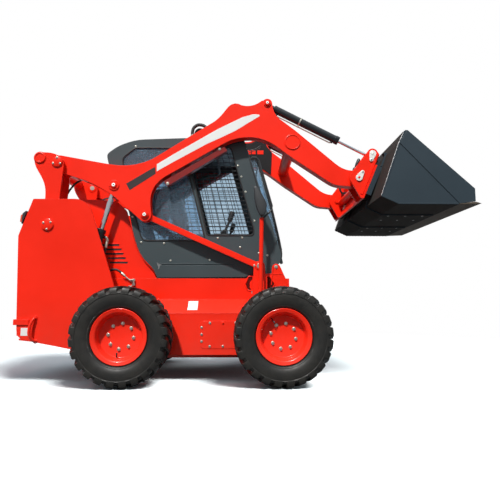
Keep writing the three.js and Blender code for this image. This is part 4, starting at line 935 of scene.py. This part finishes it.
for name, side in SIDES:
    way = (0, side, 0)
    seal, pale, wires, grey = meshes(4)
    for outline, rad in ((GLASS, 34), (OPEN, 26)):
        shape = round_outline(outline, rad, 4)
        tube(seal, flat(shape, side * (CAB_HALF + 0.5)), 0.0068, 8, True)
    for x, z in CAB_BOLTS:
        bolt(pale, at(x, side * CAB_HALF, z), way, 0.0068, 0.0055)
    # welded wire guard: uprights lean with the front edge of the opening
    low, high, rear = 1272, 2140, -590
    front = lambda z: 228 + (2150 - z) * 218 / 788
    rows = 21
    for i in range(rows + 1):
        z = low + (high - low) * i / rows
        tube(wires, [at(rear - 100 * (i / rows), side * (CAB_IN - 3.2), z),
                     at(front(z), side * (CAB_IN - 3.2), z)], 0.003, 6)
    columns = 16
    for i in range(columns + 1):
        foot = rear + (front(low) - rear) * i / columns
        head = rear - 100 + (front(high) - rear + 100) * i / columns
        tube(wires, [at(foot, side * (CAB_IN - 9.0), low), at(head, side * (CAB_IN - 9.0), high)], 0.003, 6)
    # edge frame of the front opening, foot rail and grab handle
    line = [(352, 2168), (668, 1152), (676, 1060)]
    sweep(grey, [(x + 4, side * 384, z) for x, z in line], 8, 0.0115, 12)
    grab = [(300, 2060), (322, 2040), (372, 1880), (366, 1850)]
    sweep(seal, flat(grab, side * 372), 6, 0.011, 12)
    plate(grey, [(-446, 916), (376, 916), (330, 980), (256, 1036), (-428, 1036), (-462, 1052)], side * 414.8,
          side * 421.5)
    plate(grey, [(-462, 1052), (-428, 1036), (256, 1036), (250, 1043), (-424, 1043)], side * 414.8,
          side * 426)
    corner = [(-462, 1052), (-440, 1040), (-424, 1043), (-418, 1030), (-436, 1018), (-432, 1002),
              (-450, 988), (-447, 1012), (-457, 1030)]
    chip = bmesh.new()
    plate(chip, corner, side * 421.4, side * 422.2)
    make(f"sill_worn_corner_{name}", chip, mat_steel, "chassis")
    # lower front corner of the cab, and the six-sided opening in the wall below it, whose inside is a dark
    # red plate of painted shade
    plate(grey, [(536, 948), (598, 948), (606, 985), (606, 1012), (536, 1012)], side * 404, side * 415.4)
    lip, inside, single = meshes(3)
    plate(lip, [(532, 912), (612, 912), (612, 950), (532, 950)], side * 412, side * 428.6)
    opening = [(352, 852), (386, 925), (583, 925), (629, 854), (592, 790), (376, 794)]
    plate(inside, opening, side * 426, side * 430.2)
    tube(lip, flat(round_outline(opening, 12), side * 430), 0.0062, 10, closed=True)
    bolt(single, at(427, side * 429.5, 776), (0, side, 0), 0.011, 0.008)
    pieces("chassis", f"_{name}", ("wall_opening_rim", lip, mat_red), ("wall_opening", inside, mat_opening_shade),
           ("wall_opening_bolt", single, mat_zinc))
    # frame of the front screen, its glass and the glass's wrap on to the post
    rim_line = [(475, 2045), (548, 1768), (603, 1566), (664, 1298), (690, 1150), (684, 1075)]
    sweep(seal, flat(rim_line, side * 392), 6, 0.012, 12)
    pane = bmesh.new()
    plate(pane, [(455, 2040), (528, 1768), (583, 1566), (644, 1298), (664, 1160), (600, 1160), (380, 2040)],
          side * 390, side * 393)
    pieces("chassis", f"_{name}", ("screen_return", pane, mat_glass), ("window_seals", seal, mat_hose),
           ("cab_bolts", pale, mat_zinc))
    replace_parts(make(f"wire_guard_{name}", wires, mat_wire, "chassis"), f"window_guard_{name}")
    make(f"cab_trim_{name}", grey, mat_cab, "chassis", 0.001)
    # mirror: a moulded shell, all in black plastic
    bm = bmesh.new()
    shell = round_outline([(428, 1722, 30), (462, 1716, 40), (552, 1560, 60), (528, 1455, 40),
                           (482, 1450, 40), (440, 1560, 60)], 30, 5)
    inner = [(490 + (x - 490) * 0.86, 1588 + (z - 1588) * 0.9) for x, z in shell]
    skin(bm, [flat(shell, side * 645.8), [at(x, side * 650, z) for x, z in
              [(490 + (x - 490) * 0.94, 1588 + (z - 1588) * 0.955) for x, z in shell]],
              flat(inner, side * 651.5)])
    make(f"mirror_shell_{name}", bm, mat_plastic, "chassis")

bm = bmesh.new()
plate(bm, round_outline(OPEN, 26, 4), 404.0, 408.0)
make("front_pane_left", bm, mat_glass, "chassis")
bm = bmesh.new()
line = [(480, 2040), (552, 1768), (607, 1566), (668, 1298), (686, 1190)]
skin(bm, [[at(x, -388, z), at(x, 388, z), at(x - 4, 388, z - 1), at(x - 4, -388, z - 1)] for x, z in line])
make("front_screen", bm, mat_glass, "chassis")
bm = bmesh.new()
for x, z in ((477, 2045), (688, 1180)):
    tube(bm, [at(x, -392, z), at(x, 392, z)], 0.0125, 12)
make("front_screen_bars", bm, mat_hose, "chassis")

# inside the cab: lever tops and lap bar
LEVER_Y = 345
for name, side in SIDES:
    y = side * LEVER_Y
    bm = bmesh.new()
    lathe(bm, at(206, y, 1458), Vector((0.31, 0, 0.95)),
          [(0.0225, 0), (0.0255, 0.012), (0.024, 0.04), (0.0265, 0.066), (0.023, 0.092), (0, 0.096)], 20)
    sweep(bm, [(150, y, 1322), (160, y, 1352), (186, y, 1410), (208, y, 1462)], 5, 0.012, 12)
    for k in range(4):
        lathe(bm, at(150 + k * 3, y, 1330 + k * 10), Vector((0.3, 0, 0.95)),
              [(0.034 - k * 0.005, 0), (0.036 - k * 0.005, 0.004), (0.031 - k * 0.005, 0.009), (0, 0.009)],
              20)
    make(f"lever_grip_{name}", bm, mat_plastic, "chassis")
bm = bmesh.new()
bar = [(-330, 318, 1790), (-290, 322, 1900), (-200, 325, 2010), (-60, 325, 2080), (60, 300, 2096),
       (80, 0, 2098),
       (60, -300, 2096), (-60, -325, 2080), (-200, -325, 2010), (-290, -322, 1900), (-330, -318, 1790)]
sweep(bm, bar, 6, 0.014, 12)
for s in (1, -1):
    lathe(bm, at(-330, s * 338, 1790), (0, s, 0), plug(0.022, -0.02, 0.055), 18)
make("lap_bar", bm, mat_plastic, "chassis")

# ------------------------------------------------------------ rear and engine

red, dark, pale = meshes(3)
for i in range(9):
    z = 860 + i * 42
    plate(red, [(-1655, z + 18), (-1640, z + 22), (-1640, z + 25), (-1656, z + 21)], -242, 242)
for y in (318, -346):
    plate(red, round_outline([(-1646, 660), (-1640, 660), (-1640, 1312), (-1646, 1312)], 1, 1), y, y + 28)
box(dark, -1652, -1640, -300, -262, 960, 1040)
sweep(dark, [(-1648, -281, 975), (-1658, -281, 985), (-1658, -281, 1015), (-1648, -281, 1025)], 4, 0.006, 10)
for z in (690, 820, 1290):
    for y in (-332, 332):
        bolt(pale, at(-1646, y, z), (-1, 0, 0), 0.007, 0.006)
pieces("rear_door", "", ("rear_door_trim", red, mat_red, 0.0008),
       ("rear_door_latch", dark, mat_plastic, 0.002), ("rear_door_bolts", pale, mat_zinc))
red, pale, dark = meshes(3)
for i in range(7):
    x = -1480 + i * 60
    for y in (-236, 230):
        plate(red, [(x - 4, 1480), (x + 6, 1492), (x + 34, 1492), (x + 40, 1480)], y, y + 6)
    plate(red, [(x + 28, 1479), (x + 34, 1492), (x + 8, 1496), (x + 8, 1493), (x + 31, 1489),
                (x + 25, 1479)], -234, 234)
for x in (-1560, -930):
    for y in (-330, 330):
        bolt(pale, at(x, y, 1479.8 if x > -1540 else 1463), (0, 0, 1), 0.008, 0.007)
lathe(dark, at(-1040, 250, 1479.5), (0, 0, 1), [(0.032, -0.001), (0.032, 0.075), (0.029, 0.08),
                                                (0.026, 0.08), (0.026, 0.02), (0, 0.02)], 28)
pieces("chassis", "", ("cover_trim", red, mat_red, 0.0008), ("cover_bolts", pale, mat_zinc),
       ("exhaust_stub", dark, mat_steel))
# engine dress: cylinder head, belt drive, filter and oil lines on the plain block
dark, pale, hose = meshes(3)
box(dark, -1500, -1060, -150, 150, 1059, 1150)
box(dark, -1480, -1090, -95, 95, 1149, 1200)
for k in range(4):
    lathe(pale, at(-1430 + k * 100, 0, 1199), (0, 0, 1), disc(0.024, 0, 0.014, 0.018, 0.018), 18)
lathe(dark, at(-1300, -190, 1059), (0, 0, 1), [(0.058, 0), (0.06, 0.004), (0.06, 0.15), (0.05, 0.165),
                                               (0, 0.165)], 28)
for yy, zz, r in ((0, 760, 0.11), (-160, 930, 0.055), (150, 900, 0.065)):
    lathe(dark, at(-1540, yy, zz), (-1, 0, 0), [(r, -0.001), (r, 0.006), (r - 0.008, 0.01),
                                                (r - 0.008, 0.018), (r, 0.022), (r, 0.028), (0, 0.028)], 36)
BELT = [(0, 872), (-110, 960), (-190, 985), (-216, 930), (-180, 850), (-90, 700), (0, 650), (100, 700),
        (205, 850), (214, 930), (150, 966), (70, 900)]
sweep(hose, [(-1552, y, z) for y, z in BELT], 6, 0.005, 8, True)
sweep(hose, [(-1300, -190, 1222), (-1260, -185, 1275), (-1160, -120, 1290), (-1090, -60, 1230),
             (-1088, -40, 1180)], 8, 0.022, 16)
pieces("chassis", "", ("engine_dress", dark, mat_steel, 0.004), ("injectors", pale, mat_zinc),
       ("engine_hoses", hose, mat_hose))

# ------------------------------------------------------------------- bucket

beads, bolts, worn = meshes(3)
for side in (1, -1):
    for line, yy in (([(1697, 2135), (1642, 2021), (1482, 1570)], 931),
                     ([(1484, 1566), (1626, 1501), (2128, 1501)], 931),
                     ([(1652, 2029), (2139, 1507)], 934)):
        pts = []
        for a, b in zip(line, line[1:]):
            n = max(2, int(math.dist(a, b) / 14))
            pts += [at(a[0] + (b[0] - a[0]) * k / n, side * (yy - 2.4),
                       a[1] + (b[1] - a[1]) * k / n) for k in range(n)]
        pts.append(at(line[-1][0], side * (yy - 2.4), line[-1][1]))
        target = worn if line[0] == (1697, 2135) else beads
        tube(target, pts, [0.0034 + 0.0012 * math.sin(k * 2.4) for k in range(len(pts))], 6)
for k in range(9):
    y = -820 + k * 205
    lathe(bolts, at(2165, y, 1521.8), (0.05, 0, 1), disc(0.016, -0.004, 0.004, 0.011, 0.009), 18)
for side in (1, -1):
    for x in (1690, 1850, 2010):
        for y in (240, 460):
            lathe(bolts, at(x, side * y, 1488.3), (0, 0, -1), plug(0.011, -0.002, 0.002), 16)
pieces("coupler_bucket", "", ("bucket_welds", beads, mat_bucket), ("bucket_worn_welds", worn, mat_steel),
       ("edge_bolts", bolts, mat_steel))
# coupler: latch handles, wedge guides and their springs
LATCH_Y = 300
dark, pale = meshes(2)
for side in (1, -1):
    y = side * LATCH_Y
    sweep(dark, [(1440, y, 1880), (1415, y, 1935), (1420, y, 1985), (1445, y, 2010)], 6, 0.01, 12)
    lathe(dark, at(1445, y, 2008), Vector((0.35, 0, 0.94)),
          [(0.015, -0.005), (0.018, 0.02), (0.017, 0.07), (0.012, 0.085), (0, 0.086)], 18)
    lathe(pale, at(1452, y, 1700), Vector((0.394, 0, 0.919)), plug(0.016, 0, 0.17), 18)
    coil = [at(1452 + 0.394 * (40 + k * 1.5), y, 1700 + 0.919 * (40 + k * 1.5)) for k in range(80)]
    spring = []
    for k, p in enumerate(coil):
        a = k * 0.75
        spring.append(p + Vector((0.919 * math.cos(a), math.sin(a), -0.394 * math.cos(a))) * 0.023)
    tube(pale, spring, 0.0028, 6)
    box(dark, 1436, 1478, side * 250, side * 350, 1866, 1890)
pieces("coupler_bucket", "", ("coupler_latches", dark, mat_cyl, 0.001), ("latch_springs", pale, mat_zinc))

# --------------------------------------------------------------- seat cushions


def ellipse_pad(outline, half, rows=13, pinch=0.9):
    """Closed pad from a side outline (mm) whose two ends pull in between the corners."""
    bm = bmesh.new()
    cx = sum(p[0] for p in outline) / len(outline)
    cz = sum(p[1] for p in outline) / len(outline)
    rings = []
    for i in range(rows):
        t = -1 + 2 * i / (rows - 1)
        k = pinch + (1 - pinch) * math.sqrt(max(0.0, 1 - abs(t) ** 5))
        rings.append([at(cx + (x - cx) * k, t * half, cz + (z - cz) * k) for x, z in outline])
    skin(bm, rings)
    return bm


def swell(obj, cap, voxel=0.006):
    """Inflates the pad with a short cloth run, no point moving more than cap."""
    scene = bpy.context.scene
    bpy.context.view_layer.objects.active = obj
    mod = obj.modifiers.new("remesh", "REMESH")
    mod.mode = "VOXEL"
    mod.voxel_size = voxel
    bpy.ops.object.modifier_apply(modifier=mod.name)
    start = [v.co.copy() for v in obj.data.vertices]
    cloth = obj.modifiers.new("cloth", "CLOTH")
    cloth.settings.use_pressure = True
    cloth.settings.uniform_pressure_force = 4
    cloth.settings.effector_weights.gravity = 0
    cloth.settings.quality = 5
    for frame_no in range(1, 21):
        scene.frame_set(frame_no)
    bpy.ops.object.modifier_apply(modifier=cloth.name)
    scene.frame_set(1)
    for v, p in zip(obj.data.vertices, start):
        move = v.co - p
        if move.length > cap:
            v.co = p + move.normalized() * cap
    obj.data.polygons.foreach_set("use_smooth", [True] * len(obj.data.polygons))


def groove(obj, lines, depth=0.007, width=0.009):
    """Presses sewn channels: lines are (direction out, axis across, place in metres)."""
    for v in obj.data.vertices:
        for normal, axis, value in lines:
            d = (v.co[axis] - value) / width
            if abs(d) < 3:
                v.co -= normal * depth * math.exp(-d * d)


SEAT = [(-296, 1262), (-306, 1290), (-290, 1326), (-200, 1330), (-60, 1322), (80, 1322), (130, 1310),
        (142, 1284),
        (128, 1256), (-20, 1252), (-200, 1252)]
BACK_PAD = [(-335, 1372), (-262, 1384), (-250, 1440), (-262, 1540), (-290, 1650), (-318, 1750), (-338, 1782),
            (-372, 1786),
            (-400, 1764), (-392, 1660), (-368, 1540), (-346, 1440)]
for label, outline, half in (("seat_cushion", SEAT, 208), ("seat_back", BACK_PAD, 200)):
    bm = ellipse_pad(outline, half)
    pad = make(f"{label}_pad", bm, mat_vinyl, "chassis", angle=180)
    swell(pad, 0.022)
    if label == "seat_cushion":
        up = Vector((0, 0, 1))
        groove(pad, [(up, 1, s * 0.085) for s in (-1, 1)] + [(up, 0, X0 - 0.19), (up, 0, X0 + 0.06)])
    else:
        ahead = Vector((1, 0, 0))
        groove(pad, [(ahead, 1, s * 0.085) for s in (-1, 1)] + [(ahead, 2, 1.53), (ahead, 2, 1.66)])
    sub = pad.modifiers.new("smooth", "SUBSURF")
    sub.levels = sub.render_levels = 1
    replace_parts(pad, label)
    # piping round the pad's two ends
    bm = bmesh.new()
    cx = sum(p[0] for p in outline) / len(outline)
    cz = sum(p[1] for p in outline) / len(outline)
    for s in (-1, 1):
        edge = [at(cx + (x - cx) * 1.03, s * (half - 4), cz + (z - cz) * 1.1) for x, z in outline]
        sweep(bm, edge, 5, 0.0048, 8, True)
    make(f"{label}_piping", bm, mat_plastic, "chassis")

# ------------------------------------------------------------- stage and view


SKY, SUN, OVERHEAD, BACK = 0.4, 4.3, 70, 60
FLOOR_SUN, FLOOR_WHITE = 5.0, 1.05
# metres from the origin: the floor's edge, and where it starts and ends turning backdrop white
FLOOR, WHITE_FROM, WHITE_TO = 60, 2.2, 6.0
# camera measured from the photo: lens in pixels of its width, turn and tilt in degrees
FOCAL_PX, PHOTO_PX, YAW, PITCH, EYE = 446.8, 500, 1.094, 6.407, (0.32 + X0, -4.551, 0.706)


def empty_tree(owner):
    """The owner's node tree, emptied, with a short way to add and to join nodes."""
    owner.use_nodes = True
    tree = owner.node_tree
    tree.nodes.clear()
    return tree, lambda kind: tree.nodes.new("ShaderNode" + kind), tree.links.new


def studio():
    world = bpy.data.worlds.new("studio")
    bpy.context.scene.world = world
    t, new, link = empty_tree(world)
    out = new("OutputWorld")
    soft = new("Background")
    white = new("Background")
    grad = new("ValToRGB")
    tc = new("TexCoord")
    sep = new("SeparateXYZ")
    link(tc.outputs["Generated"], sep.inputs[0])
    link(sep.outputs[2], grad.inputs[0])
    grad.color_ramp.elements[0].position = 0.0
    grad.color_ramp.elements[0].color = (0.6, 0.62, 0.64, 1)
    grad.color_ramp.elements[1].position = 0.6
    grad.color_ramp.elements[1].color = (0.8, 0.88, 1.0, 1)
    link(grad.outputs[0], soft.inputs[0])
    soft.inputs[1].default_value = SKY
    white.inputs[0].default_value = (1, 1, 1, 1)
    mixer = new("MixShader")
    link(seen(t, 0.2), mixer.inputs[0])
    link(soft.outputs[0], mixer.inputs[1])
    link(white.outputs[0], mixer.inputs[2])
    link(mixer.outputs[0], out.inputs[0])

    floor = bpy.data.meshes.new("floor")
    floor.from_pydata([(-FLOOR, -FLOOR, 0), (FLOOR, -FLOOR, 0), (FLOOR, FLOOR, 0), (-FLOOR, FLOOR, 0)], [],
                      [(0, 1, 2, 3)])
    plane = bpy.data.objects.new("floor", floor)
    bpy.context.scene.collection.objects.link(plane)
    m = bpy.data.materials.new("floor")
    t, new, link = empty_tree(m)
    out = new("OutputMaterial")
    dull, pale = new("BsdfDiffuse"), new("BsdfDiffuse")
    dull.inputs[0].default_value = (0.07, 0.07, 0.07, 1)
    pale.inputs[0].default_value = (0.93 * FLOOR_WHITE, FLOOR_WHITE, FLOOR_WHITE, 1)
    mixer = new("MixShader")
    link(seen(t, 0.12), mixer.inputs[0])
    link(dull.outputs[0], mixer.inputs[1])
    link(pale.outputs[0], mixer.inputs[2])
    # away from the machine the floor is as white as the backdrop
    glow, blend = new("Emission"), new("MixShader")
    where, length = new("TexCoord"), new("VectorMath")
    far, both = new("MapRange"), new("Math")
    length.operation, both.operation = "LENGTH", "MULTIPLY"
    far.interpolation_type = "SMOOTHSTEP"
    far.inputs["From Min"].default_value, far.inputs["From Max"].default_value = WHITE_FROM, WHITE_TO
    link(where.outputs["Object"], length.inputs[0])
    link(length.outputs["Value"], far.inputs["Value"])
    link(far.outputs[0], both.inputs[0])
    link(seen(t, 0.0), both.inputs[1])
    link(both.outputs[0], blend.inputs[0])
    link(mixer.outputs[0], blend.inputs[1])
    link(glow.outputs[0], blend.inputs[2])
    link(blend.outputs[0], out.inputs[0])
    floor.materials.append(m)
    plane.location.z = -0.001

    def lamp(name, kind, where, aim, energy, size, color=(1, 1, 1)):
        data = bpy.data.lights.new(name, kind)
        data.energy = energy
        data.color = color
        if kind == "AREA":
            data.size = size
        else:
            data.angle = size
        o = bpy.data.objects.new(name, data)
        o.location = where
        o.rotation_euler = (Vector(aim) - Vector(where)).to_track_quat("-Z", "Y").to_euler()
        bpy.context.scene.collection.objects.link(o)
        return o

    sun = lamp("sun", "SUN", (-1.6, -4, 5.6), (0, 0, 0), SUN, 0.06, (1, 0.98, 0.95))
    lamp("overhead", "AREA", (1.2, -1.5, 6.0), (0, 0.2, 0), OVERHEAD, 6.0)
    lamp("back", "AREA", (2.5, 5.5, 4.5), (0, 0, 1.2), BACK, 4.0)
    # the sun lights the machine only; a broad lamp of its own gives the floor its soft shadow
    floor_sun = lamp("floor_sun", "SUN", (3.0, -3.2, 5.5), (0, 0, 0), FLOOR_SUN, 0.4)
    for light, state in ((sun, "EXCLUDE"), (floor_sun, "INCLUDE")):
        group = bpy.data.collections.new(light.name + "_receivers")
        group.objects.link(plane)
        light.light_linking.receiver_collection = group
        group.collection_objects[0].light_linking.link_state = state


def seen(tree, gloss):
    """One for camera and transmission rays, gloss for mirror rays, else zero."""
    path = tree.nodes.new("ShaderNodeLightPath")
    part = tree.nodes.new("ShaderNodeMath")
    part.operation = "MULTIPLY"
    part.inputs[1].default_value = gloss
    tree.links.new(path.outputs["Is Glossy Ray"], part.inputs[0])
    last = part.outputs[0]
    for kind in ("Is Camera Ray", "Is Transmission Ray"):
        top = tree.nodes.new("ShaderNodeMath")
        top.operation = "MAXIMUM"
        tree.links.new(last, top.inputs[0])
        tree.links.new(path.outputs[kind], top.inputs[1])
        last = top.outputs[0]
    return last


def view():
    yaw, pitch = math.radians(YAW), math.radians(PITCH)
    data = bpy.data.cameras.new("camera")
    data.sensor_width = 36.0
    data.lens = data.sensor_width * FOCAL_PX / PHOTO_PX
    cam = bpy.data.objects.new("camera", data)
    cam.location = EYE
    way = Vector((math.sin(yaw) * math.cos(pitch), math.cos(yaw) * math.cos(pitch), math.sin(pitch)))
    cam.rotation_euler = way.to_track_quat("-Z", "Y").to_euler()
    bpy.context.scene.collection.objects.link(cam)
    bpy.context.scene.camera = cam
    bpy.context.scene.view_settings.view_transform = "Standard"


studio()
view()
